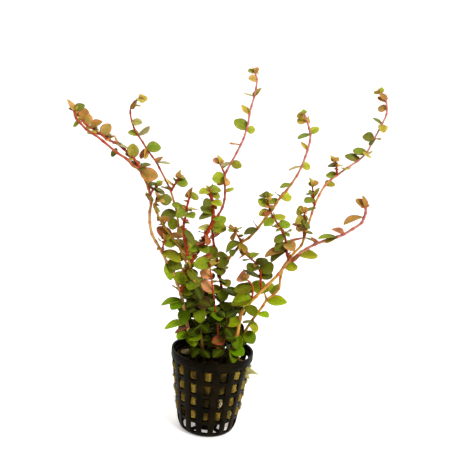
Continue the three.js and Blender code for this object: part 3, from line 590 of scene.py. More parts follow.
# Degrees round from the front, height, half width, half height, and how dark the patch is.
DARK_PATCHES = [
    (-2.7, 24, 9, 13, 1.0),
    (-2.7, 41, 9, 5, 0.3),
    (19.8, 37, 8, 9, 0.95),
    (19.8, 24, 8, 4, 0.7),
    (19.8, 15, 8, 5, 0.35),
    (-25, 26, 9, 14, 0.15),
    (-25, 41, 6, 4, 0.5),
    (-48, 13, 11, 6, 1.0),
    (42, 14, 11, 4, 0.45),
    # Painted shade: this patch darkens the back of the plug inside the rim.
    (-150, 43, 66, 6, 1.0),
]


def patches_and_painted_shade(points):
    """1 where the wool is painted dark, 0 elsewhere: darker patches, blotches, and painted shade."""
    angle = np.degrees(np.arctan2(points[..., 0], -points[..., 1]))
    height = points[..., 2]
    shade = np.zeros(height.shape)
    for middle, level, wide, tall, dark in DARK_PATCHES:
        off = (angle - middle + 180) % 360 - 180
        patch = dark * np.exp(-(off / wide) ** 4 - ((height - level) / tall) ** 4)
        shade = np.maximum(shade, patch)
    # Painted shade: the top's middle, under the bunch, is darkened.
    reach = np.hypot(points[..., 0], points[..., 1]) / wall_radius(height)
    painted_top_shade = smoothstep(0.9, 0.8, reach) * smoothstep(37, 39, height)
    blotch = 0.45 * smoothstep(0.0, 0.9, lumps(points, size=9.0, seed=12))
    return np.clip(np.maximum(shade, painted_top_shade) + blotch, 0, 1)


# %% The plug and its finish
def wool_finish(name, pale, dark, relief, warmth):
    """Yellow wool, greener here and browner there, brown in its folds, and nearly black where painted dark.
    """
    finish, tree, shader = new_finish(name, Roughness=0.92, Specular_IOR_Level=0.1)
    place = object_place(tree)
    tuft = noise(tree, place, 420.0, 6.0, 0.7)
    cast = noise(tree, place, 95.0, 2.0)
    dry_colour = blend_colours(tree, remap(tree, tuft, 0.3, 0.7), dark, pale)
    warm = tinted(tree, dry_colour, srgb(255, 222, 180))
    dry_colour = blend_colours(tree, remap(tree, cast, 0.42, 0.6, 0.0, warmth), dry_colour, warm)
    # The stored layer paints the wool nearly black: darker patches, and painted shade at the back and over
    # the top.
    wire(tree, shader, Normal=bump(tree, tuft, relief, 0.0008),
         Base_Color=blend_colours(tree, mesh_layer(tree, "patches_and_shade"), dry_colour, srgb(26, 15, 5)))
    return finish


foot_pole = np.array([[0, 0, WOOL_FOOT]])
top_pole = np.array([[0, 0, WOOL_TOP - 0.4]])
points, quads, fans = close_skins(plug_rings()[None], foot_pole, top_pole)
plug = put_mesh("mineral_wool_plug", points, quads, fans, [("patches_and_shade", patches_and_painted_shade(points))])
plug.data.materials.append(wool_finish(
    "plug_wool", pale=srgb(188, 162, 66), dark=srgb(96, 72, 22), relief=0.7, warmth=1.0))
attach(plug, "root")
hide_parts("wool_plug")
print("the plug has", len(quads), "cells")

# %% [markdown]
# ## Wool fibres
#
# A fibre is drawn on the plug's unrolled surface, as a short bent line in angle and height, and lifted off
# it a little in the middle. It is given three sides, since it is a tenth of a millimetre thick.

# %% Fibres over the plug
SIDE_FIBRES = 3300
TOP_FIBRES = 900
FIBRE_SIDES = 3
FIBRE_STEPS = 6
FIBRE_RADII = (0.035, 0.075)
FIBRE_PLUG_RADIUS = 21.0
TOP_FIBRE_REACH = 18.5
FIBRE_SEED = 21


def side_fibres(rng, count):
    """Fibres in the four upper rings of slots, where the wool bulges out, each at its own slant."""
    share = np.linspace(-0.5, 0.5, FIBRE_STEPS)[None]
    run = share * rng.uniform(2.0, 5.5, (count, 1))
    slope = rng.uniform(0, np.pi, (count, 1))
    sag = rng.normal(0, 1.2, (count, 1)) * (share ** 2 - 0.25)
    spans = slot_spans()
    row = rng.integers(0, SLOT_ROWS - 1, (count, 1))
    z0 = rng.uniform(spans[row, 1], spans[row, 0])
    column = rng.integers(0, COLUMNS, (count, 1)) * COLUMN_PITCH + FIRST_COLUMN
    a0 = column + rng.uniform(-1, 1, (count, 1)) * SLOT_HALF_ANGLE
    angle = a0 + (np.cos(slope) * run - np.sin(slope) * sag) / FIBRE_PLUG_RADIUS
    z = np.clip(z0 + np.sin(slope) * run + np.cos(slope) * sag, WOOL_SIDE_FOOT, top_edge(angle) - 0.2)
    inside = np.clip(slot_bulge(angle, z) * 3, 0, 1)
    fuzzy = 1 + 0.5 * np.abs(np.cos(angle)) ** 6
    lift = rng.uniform(0.02, 0.75, (count, 1)) * (1 - (2 * share) ** 2) * inside * fuzzy
    return turned(plug_radius(angle, z) + 0.02 + lift, angle, z)


def top_fibres(rng, count):
    """Fibres lying every way over the torn top."""
    share = np.linspace(-0.5, 0.5, FIBRE_STEPS)[None]
    run = share * rng.uniform(2.5, 7, (count, 1))
    slope = rng.uniform(0, 2 * np.pi, (count, 1))
    around = rng.uniform(0, 2 * np.pi, (count, 1))
    reach = TOP_FIBRE_REACH * np.sqrt(rng.uniform(0.02, 1, (count, 1)))
    sag = rng.normal(0, 1.5, (count, 1)) * (share ** 2 - 0.25)
    x = reach * np.cos(around) + np.cos(slope) * run - np.sin(slope) * sag
    y = reach * np.sin(around) + np.sin(slope) * run + np.cos(slope) * sag
    dome = 1 - (np.hypot(x, y) / WOOL_EDGE_RADIUS) ** 2
    z = WOOL_EDGE_TOP + (WOOL_TOP - WOOL_EDGE_TOP) * np.clip(dome, -0.2, 1) - WOOL_SLOPE * y - 0.35
    z = z + rng.uniform(0.0, 0.9, (count, 1)) * (1 - (2 * share) ** 2)
    return np.stack([x, y, z], -1)


rng = np.random.default_rng(FIBRE_SEED)
paths = np.concatenate([side_fibres(rng, SIDE_FIBRES), top_fibres(rng, TOP_FIBRES)])
thickness = rng.uniform(*FIBRE_RADII, (len(paths), 1)) * np.ones((1, FIBRE_STEPS))
points, quads, fans = tubes(paths, thickness, FIBRE_SIDES, (0.3, 0.5, 0.81))
fibres = put_mesh("wool_fibres", points, quads, fans, [("patches_and_shade", 0.92 * patches_and_painted_shade(points))])
fibres.data.materials.append(wool_finish(
    "wool_fibre", pale=srgb(206, 188, 86), dark=srgb(136, 112, 40), relief=0.2, warmth=0.4))
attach(fibres, "root")
print(len(paths), "fibres,", len(quads) * 2 + len(fans), "triangles")

# %% [markdown]
# ## How a stem finds its way
#
# A stem was read from the picture joint by joint, as [across, up] in millimetres on the upright plane
# through the pot's axis. A picture holds no depth, so each stem also has a depth at its foot and at its tip,
# and every joint is slid along the line of sight to its depth. That keeps the front view as it was read, and
# lets the bunch spread naturally towards the viewer and away. A shoot starts at its parent's depth and leans
# from there.
#
# After its place, a joint lists its leaves: where the tip is seen from the joint (across, up), how squarely
# the blade faces the viewer, and the tone of its colour.
#
# The other entries say how a stem looks. bark names its tones at the foot and the tip, full makes it thicker
# or thinner, and dark_below is the height up to which the bunch shades it. fill is the span of heights with
# close pairs of leaves, bushy gives its bare joints in the bunch a pair, and young puts tiny blades at its
# upper joints.

# %% The stems, joint by joint
PLANTS = [
    dict(name="left_stem", root=(-9, -6), depth=(-6, -22), radius=0.85, full=0.9,
         bark=("straw", "rose"), joints=[
        [-12.5, 51, [5, -4, 0.9, "deep"]],
        [-15.2, 58.3, [-6.5, -1.5, 0.7, "bright"], [4.5, -5.6, 0.9, "middle"]],
        [-16.2, 62.5, [-7, -2, 0.3, "red"]],
        [-16.9, 65, [-13, -3.2, 0.38, "bright"]],
        [-19.2, 74, [1, -8, 1, "dark"]],
        [-20.6, 78.8, [-12, -3, 0.35, "green"], [-6, -4.5, 0.8, "green"]],
        [-21.9, 83, [9.4, 3, 0.95, "dark"], [-4.8, 3.8, 0.4, "brown"]],
        [-24.4, 89, [6.6, 3.2, 0.9, "green"]],
        [-27, 94.6, [8.8, -3.4, 0.95, "green"]],
        [-31.5, 101.5, [3.8, -9.5, 0.75, "green"], [9, -1, 0.9, "dark"]],
        [-34.8, 107.5, [11.5, -3.5, 0.68, "bright"]],
        [-39, 113.7],
        [-41.5, 118],
        [-43.2, 125],
        [-43.6, 131],
        [-43.2, 136.6, [-3.5, 5, 0.5, "bright"]],
        [-45.2, 145, [-3.5, 5, 0.5, "pale"]],
        [-49.6, 153.3, [9.8, -0.6, 1, "tan"], [4.2, 1.6, 0.7, "red"], [4.5, -4, 0.5, "brown"]],
        [-51.4, 155.6, [-5, 4, 0.6, "bright"], [6.5, 3, 0.3, "dark"]],
        [-55, 157.5],
        [-59, 161],
        [-64.5, 164, [-4.8, 0, 0.95, "dark"]],
        [-73, 170],
        [-78.5, 173.6, [-3.5, 1.2, 0.7, "bright"]],
        [-83, 176],
        [-87, 179.6, [-4.8, 0, 0.9, "bright"]],
        [-89.3, 182],
        [-90.5, 186, [-4.2, 6, 0.5, "tan"], [4.9, 4, 0.7, "dark"]],
    ]),
    dict(name="left_upper_branch", parent="left_stem", lean=9, radius=0.7, full=0.85,
         bark=("rose", "rose"), young=True, joints=[
        [-51, 156.2],
        [-52.2, 158.6, [-3.2, 2, 0.6, "dark"]],
        [-55, 161.7, [-1.3, 8, 1, "olive"], [-4.2, 3.5, 0.8, "red"]],
        [-61, 166.7, [-3.2, 3.6, 0.4, "dark"]],
        [-65.5, 169.6, [7, -2.5, 0.25, "grey"], [-1, 4.7, 0.45, "tan"]],
        [-71, 171.3, [2.8, 2.6, 0.5, "brown"]],
        [-73.7, 173.4, [3.7, 6.7, 0.95, "tan"], [3.2, 1.5, 0.6, "dark"], [-4.2, 1.8, 0.8, "red"]],
        [-78, 175.8],
        [-80.3, 177.2, [6, 3.5, 0.6, "brown"]],
        [-82.6, 178, [-0.3, 7, 0.9, "tan"]],
        [-85.3, 180.6, [0.5, 7.2, 1, "brown"]],
        [-88.2, 183.3, [-2, 3, 0.5, "brown"]],
    ]),
    dict(name="left_dark_twig", parent="left_stem", lean=-5, radius=0.5,
         bark=("rose", "wine"), young=True, joints=[
        [-44, 141],
        [-42.6, 144],
        [-41, 145.8, [2.2, -1.5, 0.5, "dark"], [4.8, -3.6, 0.6, "dark"]],
        [-40, 146.8, [-4.5, 2.3, 0.6, "dark"], [2.5, 3, 0.35, "brown"]],
    ]),
    dict(name="left_red_shoot", parent="left_stem", lean=-7, radius=0.5,
         bark=("rose", "red"), young=True, joints=[
        [-34.6, 107.5],
        [-34.5, 110],
        [-34.2, 112.7, [7, 0.8, 0.95, "green"], [-3, 0.5, 0.25, "pale"]],
        [-33.6, 115.2, [1.6, 2.2, 0.5, "red"]],
    ]),
    dict(name="second_left_stem", root=(-8, 6), depth=(6, 20), radius=0.7, full=0.85,
         bark=("tan", "rose"), dark_below=84, fill=(47, 120), bushy=True, joints=[
        [-9, 51],
        [-9.5, 61, [-8, 1, 0.9, "deep"]],
        [-11, 73, [9, 0.5, 0.5, "olive"]],
        [-14, 84, [-2, -8, 0.9, "green"]],
        [-17.5, 96],
        [-20.8, 104],
        [-24.5, 111],
        [-26, 118],
        [-26.2, 124.6, [-6.4, 0, 1, "green"]],
        [-27.6, 131.5, [-9.5, -2.5, 0.75, "dark"]],
        [-29.7, 138, [4.4, -3.2, 0.8, "green"]],
        [-32.2, 144.6, [-6.2, 1.5, 0.25, "dark"]],
        [-35.3, 150.3],
        [-39.6, 157.3],
        [-41.3, 160.2, [3, 3.6, 0.5, "brown"], [8.6, -0.2, 0.2, "grey"]],
        [-44.2, 163.6],
        [-47.8, 168, [8.5, 1, 0.9, "green"], [-2.7, -6.5, 0.6, "red"], [1, -5.7, 0.4, "olive"]],
        [-50, 171.2],
        [-53, 175, [-6.5, 2.4, 0.8, "bright"], [6.7, 5.5, 0.45, "grey"]],
        [-55.4, 178.6],
        [-57.2, 183, [6.6, -0.6, 0.8, "pale"]],
        [-58.3, 187.5],
        [-58, 191.3, [6.2, 0.6, 0.2, "olive"]],
        [-56.2, 194, [-0.5, -3.6, 0.4, "brown"]],
        [-53.7, 195.7, [3.6, 1.3, 0.8, "olive"], [2.6, -1.8, 0.6, "olive"]],
    ]),
    dict(name="second_left_shoot", parent="second_left_stem", lean=-5, radius=0.5,
         bark=("red", "red"), young=True, joints=[
        [-31.6, 144.8],
        [-30.6, 147.2, [-5, 4.3, 0.3, "pale"]],
        [-29.3, 149.8, [7.3, 0.8, 0.9, "green"]],
        [-28.2, 152.5, [0.6, 4.2, 0.5, "pale"], [3, 1.4, 0.7, "green"]],
    ]),
    dict(name="inner_left_stem", root=(-4, -10), depth=(-10, -16), radius=0.7,
         bark=("tan", "olive"), dark_below=96, fill=(53, 96), bushy=True, young=True, joints=[
        [-6.5, 51, [-3, 5, 0.9, "deep"]],
        [-8.5, 62, [-7, -3, 0.9, "deep"], [6, 2, 0.9, "deep"]],
        [-10.8, 75, [2.5, -8, 1, "dark"], [8, 2, 0.55, "olive"]],
        [-13.5, 88, [-6, -5, 0.9, "dark"], [4, -6, 0.8, "deep"]],
        [-17, 99],
        [-19.9, 106.5],
        [-23.7, 111, [-5, 2.2, 0.35, "dark"], [2.2, 4.4, 0.6, "dark"]],
        [-29.8, 117.2, [-9, 4.2, 0.95, "red"], [6.5, 1.5, 0.6, "brown"]],
        [-34.9, 123.8],
        [-36.8, 126.3, [4.2, 1.5, 0.7, "brown"]],
        [-39.5, 131.2, [-2, 4, 0.5, "bright"]],
        [-41.2, 134.9],
        [-40.1, 137.4, [4.2, 2.4, 0.8, "red"]],
        [-38.4, 138.7, [7, 0.4, 1, "dark"], [-2.2, 2.8, 0.6, "brown"]],
    ]),
    dict(name="inner_left_shoot", parent="inner_left_stem", lean=-9, radius=0.65,
         bark=("red", "red"), young=True, joints=[
        [-19.6, 106.5],
        [-20.4, 111],
        [-21.6, 115.5],
        [-22.8, 122, [6, -7.3, 0.55, "dark"]],
        [-23, 126.5, [-2.5, 1, 0.4, "red"]],
        [-22, 131.6, [-5.2, 4.4, 0.8, "bright"], [4.6, -1, 0.7, "green"]],
        [-22, 134.2, [-5.2, -3.6, 0.85, "green"], [7, 0.6, 0.15, "grey"]],
        [-21.5, 138.6],
        [-20.8, 141.6, [4.4, 1, 0.9, "green"], [0.3, 4.5, 0.5, "brown"]],
    ]),
    dict(name="red_branch", parent="left_stem", lean=2, radius=0.9, full=1.1,
         bark=("red", "red"), young=True, joints=[
        [-21.5, 84],
        [-20.8, 90],
        [-19.3, 97.1, [-4, 0.5, 0.6, "tan"]],
        [-17.8, 101],
        [-16, 105.5],
        [-13.7, 109.7],
        [-12, 113.2, [-9.6, -1, 0.95, "green"], [4.4, -2.6, 0.9, "green"]],
        [-10.6, 117, [-3, -3, 0.5, "red"], [2.6, 1.2, 0.5, "red"]],
        [-9.4, 120.3, [-4, 1.6, 0.45, "red"], [1.8, -4, 0.4, "red"]],
        [-8.3, 123, [-5.8, 1.6, 0.7, "pale"]],
        [-6.6, 127],
        [-6.1, 130.5],
        [-6.3, 133.5, [-7.8, 2.5, 0.75, "green"], [-8, -3.6, 0.5, "dark"]],
        [-6.8, 137.3],
        [-7.5, 140.7, [-3.9, -1.5, 0.8, "dark"], [5.4, -1.8, 0.7, "bright"]],
        [-8.5, 143.6, [5.2, 0.6, 0.9, "green"]],
        [-9.7, 146.2, [-5, -0.3, 0.7, "bright"], [6.8, 2, 0.7, "green"], [0.8, 3.6, 0.5, "olive"]],
    ]),
    dict(name="tall_centre_stem", root=(2, 4), depth=(4, 12), radius=0.7, full=0.92,
         bark=("wine", "pink"), dark_below=84, fill=(47, 112), bushy=True, joints=[
        [3.2, 51],
        [4.2, 60, [7, 2, 0.9, "deep"]],
        [4.9, 72, [-6, 3, 0.9, "deep"]],
        [4, 80],
        [2.2, 89, [1, -8, 0.9, "dark"]],
        [0.9, 94.8, [3, 3, 0.4, "dark"], [3.2, -1, 0.4, "dark"]],
        [-0.8, 101],
        [-2.4, 108.7],
        [-4.2, 114.2, [-1.5, -8, 0.95, "dark"]],
        [-5.2, 118.3, [2.2, 2.6, 0.5, "red"]],
        [-6.2, 125.3, [7.8, 6, 0.85, "green"], [8.6, -0.4, 0.95, "green"]],
        [-5.3, 129],
        [-3.3, 132.4],
        [-1.2, 137],
        [-0.3, 142],
        [-0.3, 146.4, [4.4, 3.6, 0.6, "bright"]],
        [-0.9, 151.5, [-4.2, 0.8, 0.8, "brown"]],
        [-1.3, 155.6, [-7.3, -2.2, 1, "bright"], [1.3, -5.2, 0.45, "tan"]],
        [-0.4, 158.8],
        [1.9, 164, [6.2, -1.8, 1, "bright"], [-5.5, -4.3, 0.35, "grey"]],
        [4.6, 170],
        [6.4, 174.5, [-6.8, -0.2, 0.25, "brown"]],
        [7.8, 178.3],
        [9, 183.5, [-7.6, 5, 0.85, "green"], [5, 0.2, 1, "bright"]],
        [9.6, 187],
        [10, 192, [-5, 5.6, 0.5, "olive"]],
        [10.7, 197],
        [11.8, 202.3, [-7, 2, 0.15, "grey"], [3.3, 6, 0.5, "olive"]],
        [12.4, 207],
        [12.4, 212.2, [-5, -0.2, 0.9, "tan"]],
        [11.2, 215.7, [-3.6, 2.2, 0.6, "olive"], [-0.8, 3, 0.5, "olive"]],
    ]),
    dict(name="pink_bud_shoot", parent="tall_centre_stem", lean=-3, radius=0.45,
         bark=("rose", "rose"), joints=[
        [-1.5, 157.2],
        [-2.6, 159.2],
        [-4.4, 162.2, [-3.3, 3, 0.8, "pink"], [-1.3, 6, 0.5, "olive"]],
    ]),
    dict(name="centre_right_branch", parent="tall_centre_stem", lean=-14, radius=0.65,
         bark=("tan", "pink"), joints=[
        [0, 99.5],
        [2.2, 102.6],
        [5.1, 107, [-6.2, -5.2, 0.95, "dark"]],
        [9.4, 113, [-3.2, -1, 0.3, "green"]],
        [11.6, 117, [1, -7, 0.8, "olive"], [-9, -4.6, 0.45, "green"]],
        [16, 120.5],
        [20.6, 126.5, [-7.6, -4, 0.5, "dark"], [-2.5, 3, 0.2, "brown"]],
        [24.7, 133.1],
        [28.6, 139.1],
        [30.2, 142.4, [-4.7, 1.2, 0.75, "green"]],
        [32.3, 146, [6.9, 0.7, 0.85, "bright"], [-2.4, 2.4, 0.3, "dark"]],
        [35.4, 150.3],
        [37.8, 154.3, [-6.5, -2, 0.5, "green"]],
        [40.6, 159.5],
        [42.8, 165.1, [6, 1, 0.95, "bright"], [-7.5, -2.8, 0.2, "grey"]],
        [44.4, 171],
        [45.2, 174.5, [-3.3, 5.2, 0.55, "olive"]],
        [46.1, 180],
        [45.9, 184, [4.5, 4.3, 0.8, "bright"], [-7, -3.5, 0.4, "green"]],
        [44.8, 187.3],
        [43.4, 190.9, [-5.5, 1.1, 0.8, "olive"], [0.6, 3.2, 0.3, "olive"]],
        [41.2, 195, [-3.9, 0.4, 0.85, "olive"]],
    ]),
    dict(name="centre_right_twig", parent="centre_right_branch", lean=-4, radius=0.45,
         bark=("wine", "wine"), young=True, joints=[
        [11.6, 117.2],
        [9.8, 120.6],
        [7.4, 123.2, [-1, -3, 0.5, "brown"], [2.3, 2, 0.5, "olive"]],
        [6, 124.4, [-2.4, 0.6, 0.5, "brown"]],
    ]),
    dict(name="short_red_stem", root=(0, -6), depth=(-6, -13), radius=0.6, full=0.8,
         bark=("red", "red"), fill=(47, 62), bushy=True, young=True, joints=[
        [1.2, 51, [-5.6, 4, 0.9, "middle"]],
        [2.4, 59, [0.6, -7, 0.95, "red"], [6, 1, 0.9, "deep"]],
        [1.5, 67, [-7, 1, 0.9, "deep"]],
        [0, 73],
        [-1.6, 81, [-6, -4, 0.9, "deep"]],
        [-2.6, 86, [-7.6, 5.2, 0.95, "pink"]],
        [-4.2, 94.6, [-7.2, 3, 0.95, "pink"]],
        [-5.6, 100.5, [4, 2, 0.5, "tan"]],
        [-6.6, 104.5, [-8.4, -3, 1, "green"], [-4, 1.5, 0.9, "red"]],
    ]),
    dict(name="low_right_stem", root=(9, -5), depth=(-5, -30), radius=0.95, full=0.88,
         bark=("orange", "pink"), joints=[
        [12.2, 51, [6.8, -1.5, 0.9, "middle"], [1.8, -4.6, 0.8, "dark"]],
        [14.2, 60.5, [0.6, -8.4, 1, "dark"]],
        [15, 70, [-8, -2.6, 0.9, "green"]],
        [15.4, 73.5],
        [19.2, 79.5, [4, -4.5, 0.85, "dark"]],
        [23.5, 85.1],
        [29.9, 92.9],
        [35.6, 99.9],
        [38.5, 104.8, [8.2, 0.6, 0.85, "bright"]],
        [41.4, 108.8],
        [46, 112.6, [12, 1.2, 0.7, "bright"], [-3, -2.4, 0.5, "red"]],
        [50.6, 116.6],
        [55.4, 119.8, [-1.5, 3.2, 0.45, "red"]],
        [61, 122.5],
        [67.8, 125.3, [-10.7, -0.6, 0.3, "green"], [-6.5, -2.8, 0.5, "olive"]],
        [71.5, 127.2, [-6, 2.8, 0.6, "pink"]],
        [76.6, 130.9],
        [81.5, 135.2],
        [82.4, 138.2, [-11.4, -1.8, 0.3, "brown"]],
        [83.1, 141.2],
        [82.7, 144.1, [-1.5, 6.2, 0.5, "brown"], [-5, 4.4, 0.75, "brown"]],
    ]),
    dict(name="upright_red_shoot", parent="low_right_stem", lean=6, radius=0.6,
         bark=("wine", "wine"), young=True, joints=[
        [41.2, 108.8],
        [40, 111.5],
        [38.8, 114.8, [-12.3, -3.3, 0.4, "brown"], [-9, -5.8, 0.55, "dark"]],
        [38.3, 119, [-6, -5, 0.85, "dark"], [4.2, -2.6, 0.9, "tan"]],
        [36.4, 124.4, [-5, -5.2, 0.85, "dark"], [4, 2.2, 0.3, "green"]],
        [34.4, 127.2, [-4.2, 0.6, 0.25, "dark"]],
        [33, 129, [6.8, 1.6, 0.85, "green"]],
        [29.6, 133.8, [6.9, 0.8, 0.7, "bright"], [-5.2, -5, 0.8, "green"]],
        [27.2, 137.3, [-3, -1, 0.5, "red"], [-6.4, -1.6, 0.8, "bright"]],
        [26, 140.4, [-6, 2.2, 0.85, "bright"]],
        [24.6, 145.2, [-3.5, 1.4, 0.9, "dark"], [3.4, 3, 0.8, "green"]],
    ]),
    dict(name="dark_red_shoot", parent="low_right_stem", lean=4, radius=0.55,
         bark=("red", "wine"), young=True, joints=[
        [26.2, 89],
        [25.6, 93],
        [25.2, 96.4, [-10.7, 4.6, 0.3, "dark"], [6.6, 3, 0.85, "dark"]],
        [24.6, 100.6, [7.4, 4.4, 0.95, "dark"]],
        [22.4, 104.6, [-5.2, -2.8, 0.8, "dark"], [5.5, 3.5, 0.8, "dark"]],
        [18.3, 108, [4.2, 3.6, 0.7, "bright"], [-3.6, -0.5, 0.25, "dark"]],
        [14.2, 110.8, [-2, -1.5, 0.4, "red"]],
    ]),
    dict(name="pink_leaf_shoot", parent="low_right_stem", lean=-5, radius=0.5,
         bark=("red", "rose"), young=True, joints=[
        [20.6, 81],
        [21.1, 84, [-11, -2.2, 0.95, "green"], [-12, -3.5, 0.8, "dark"]],
        [21.2, 87.6, [-6.8, 2.6, 0.95, "dark"]],
        [20.6, 91.5, [-10.6, -3.4, 0.8, "dark"]],
        [18.8, 93.8],
        [16.8, 94.9, [-5.6, 1.7, 1, "pink"]],
    ]),
    dict(name="far_right_stem", root=(14, 3), depth=(3, 26), radius=0.65,
         bark=("orange", "pink"), joints=[
        [16, 52, [3.4, 3.8, 0.9, "green"]],
        [18.9, 62.7, [5.6, -6, 0.95, "dark"]],
        [22.4, 69.9, [-4.7, -0.5, 0.5, "dark"], [2, -5.4, 0.75, "olive"]],
        [25.3, 74.8, [6.2, -0.6, 0.6, "bright"], [-6, 0.2, 0.25, "dark"]],
        [28.2, 79.7],
        [30.2, 83.6, [12, -1, 0.68, "bright"]],
        [33.8, 87, [2.2, 6.6, 0.65, "green"]],
        [36.6, 91],
        [37, 98],
        [38.8, 106],
        [43.5, 113.5],
        [47.4, 118.6],
        [48.6, 123.4, [-9.8, -1, 0.15, "red"], [5, -0.4, 0.15, "dark"]],
        [50.2, 131],
        [51.7, 138.5],
        [52.4, 142, [-3.6, -2.6, 0.65, "dark"]],
        [54.8, 149.3],
        [57.6, 155.2, [6.2, 1.9, 0.75, "bright"]],
        [60.6, 158.9],
        [63.7, 161.5, [-6.4, 0, 0.7, "green"]],
        [69, 166.3, [-3, -0.6, 0.5, "olive"], [2, 0.2, 0.4, "olive"]],
        [74.7, 170.8, [-7, 4, 0.7, "dark"], [-2.6, 4.3, 0.7, "brown"]],
        [79.3, 176, [-8, 0.6, 0.7, "green"], [2.9, 0.2, 0.2, "olive"], [-0.5, -2.6, 0.7, "olive"]],
        [82.7, 184.2, [-6.8, 1, 0.85, "dark"], [-2.6, -3, 0.4, "dark"], [4.5, 0.5, 0.15, "grey"]],
        [86.2, 192.8, [-5, 4.3, 0.4, "dark"], [0.5, -3.5, 0.9, "olive"]],
        [88.1, 198.6],
        [88, 201.8, [-4.8, 0.4, 0.9, "tan"]],
        [87, 205.8, [-4.3, 2.8, 0.65, "brown"], [1.8, 4, 0.5, "pale"]],
        [83.8, 210.4, [-3.6, 1.6, 0.7, "olive"], [0.6, -2.6, 0.5, "brown"]],
    ]),
    dict(name="far_right_upper_shoot", parent="far_right_stem", lean=-3, radius=0.45,
         bark=("red", "wine"), young=True, joints=[
        [63.6, 161.8],
        [63.3, 164.4],
        [63, 166.7, [-3.8, 0, 0.6, "dark"], [5.6, 1.2, 0.35, "pale"]],
        [61.9, 169.6, [-0.4, 3, 0.7, "olive"]],
    ]),
    dict(name="far_right_inner_shoot", parent="far_right_stem", lean=-6, radius=0.5,
         bark=("red", "wine"), young=True, joints=[
        [52.8, 143.2],
        [51.6, 147.3, [-4.8, -4, 0.75, "green"], [3.4, 6.2, 0.5, "olive"]],
        [51, 150.6, [-3.7, -0.8, 0.25, "dark"]],
        [50.3, 153.8, [1.5, 4.6, 0.95, "brown"], [-2, 4.7, 0.4, "olive"]],
    ]),
    dict(name="far_right_low_shoot", parent="far_right_stem", lean=-8, radius=0.5,
         bark=("wine", "wine"), young=True, joints=[
        [48.4, 124],
        [48, 126.7, [5.5, 0.5, 0.55, "dark"]],
        [48, 130.3, [-7.2, 0.8, 0.4, "red"], [-4, -2.6, 0.8, "tan"]],
        [48.2, 134.3, [-5.7, -1, 0.9, "olive"], [-3.2, -4, 0.6, "dark"], [1.3, -4, 0.5, "dark"]],
        [47, 138.4, [-4.4, 0.8, 1, "olive"], [0.8, 2.6, 0.5, "tan"]],
    ]),
    dict(name="right_lower_shoot", parent="far_right_stem", lean=-5, radius=0.5,
         bark=("olive", "orange"), joints=[
        [30, 83.4],
        [29.2, 85.5],
        [28.3, 87.8, [-7.6, 5.4, 0.95, "bright"], [4.2, 5.8, 0.75, "bright"]],
    ]),
    dict(name="shaded_stem_left", root=(-11, 1), depth=(1, 8), radius=0.6, fill=(57, 82), joints=[
        [-13, 51],
        [-14, 59, [-8, 2, 0.9, "deep"], [6, 3, 0.9, "deep"]],
        [-15, 68, [2, -8, 0.9, "deep"]],
        [-15.6, 77, [-7, -3, 0.9, "deep"], [7, -2, 0.9, "deep"]],
        [-15.8, 85, [-2, 7, 0.9, "deep"], [5, 4, 0.8, "green"]],
    ]),
    dict(name="shaded_stem_middle", root=(-4, 4), depth=(4, 16), radius=0.6, fill=(53, 94), joints=[
        [-4, 51],
        [-4, 59, [-8, 1, 0.9, "deep"], [8, 2, 0.9, "deep"]],
        [-4.6, 67, [2, -7, 0.9, "deep"]],
        [-5.6, 76, [-8, 2, 0.9, "deep"], [7, -3, 0.9, "deep"]],
        [-6.8, 85, [4, -6, 0.9, "deep"], [-6, 4, 0.8, "deep"]],
        [-8, 93, [5, 3, 0.8, "deep"]],
    ]),
    dict(name="shaded_stem_right", root=(8, 6), depth=(6, 14), radius=0.6, fill=(47, 76), joints=[
        [9, 51],
        [10.4, 59, [8, 0, 0.9, "deep"], [-7, 2, 0.9, "deep"]],
        [11.4, 67, [6, -4, 0.9, "deep"], [-5, 5, 0.8, "deep"]],
        [11.8, 76, [-8, 1, 0.9, "deep"], [5, 5, 0.8, "deep"]],
        [11.4, 84, [-5, 4, 0.8, "deep"], [4, 3, 0.7, "deep"]],
    ]),
    dict(name="shaded_stem_front", root=(5, -11), depth=(-11, -14), radius=0.6, joints=[
        [6, 50, [-5, -3, 0.9, "deep"]],
        [6.6, 57, [7, 0, 0.9, "deep"], [-7, -1, 0.9, "crimson"]],
        [7, 64, [-5, 4, 0.9, "deep"], [4, -5, 0.9, "deep"]],
        [7, 70, [5, 2, 0.8, "deep"], [-4, 3, 0.8, "deep"]],
    ]),
]

# %% A route through the joints
STEM_STEP = 0.9
SPAN_SAMPLES = 24
ROOT_HEIGHTS = (36.0, 39.5, 43.4)


def slide(across, up, depth):
    """Moves a point of the upright plane along the line of sight to a depth behind that plane."""
    along = 1 + depth / -EYE[1]
    return np.stack([across * along, depth + 0 * across, EYE[2] + (up - EYE[2]) * along], -1)


def run_lengths(points):
    """How far along the run each point comes."""
    return np.concatenate([[0], np.cumsum(np.linalg.norm(np.diff(points, axis=0), axis=1))])


def smooth_route(points, spacing):
    """A centripetal Catmull-Rom curve through the points, sampled at even steps of its length."""
    before = 2 * points[0] - points[1]
    after = 2 * points[-1] - points[-2]
    full = np.vstack([before, points, after])[:, None]
    p0, p1, p2, p3 = full[:-3], full[1:-2], full[2:-1], full[3:]
    d0, d1, d2 = (np.sqrt(np.linalg.norm(b - a, axis=-1, keepdims=True))
                  for a, b in ((p0, p1), (p1, p2), (p2, p3)))
    start = ((p1 - p0) / d0 - (p2 - p0) / (d0 + d1) + (p2 - p1) / d1) * d1
    end = ((p2 - p1) / d1 - (p3 - p1) / (d1 + d2) + (p3 - p2) / d2) * d1
    t = np.linspace(0, 1, SPAN_SAMPLES, endpoint=False)[None, :, None]
    dense = (p1 + start * t + (3 * (p2 - p1) - 2 * start - end) * t ** 2
             + (2 * (p1 - p2) + start + end) * t ** 3)
    dense = np.vstack([dense.reshape(-1, 3), points[-1]])
    length = run_lengths(dense)
    steps = np.linspace(0, length[-1], max(6, int(length[-1] / spacing)))
    return np.stack([np.interp(steps, length, dense[:, k]) for k in range(3)], 1)


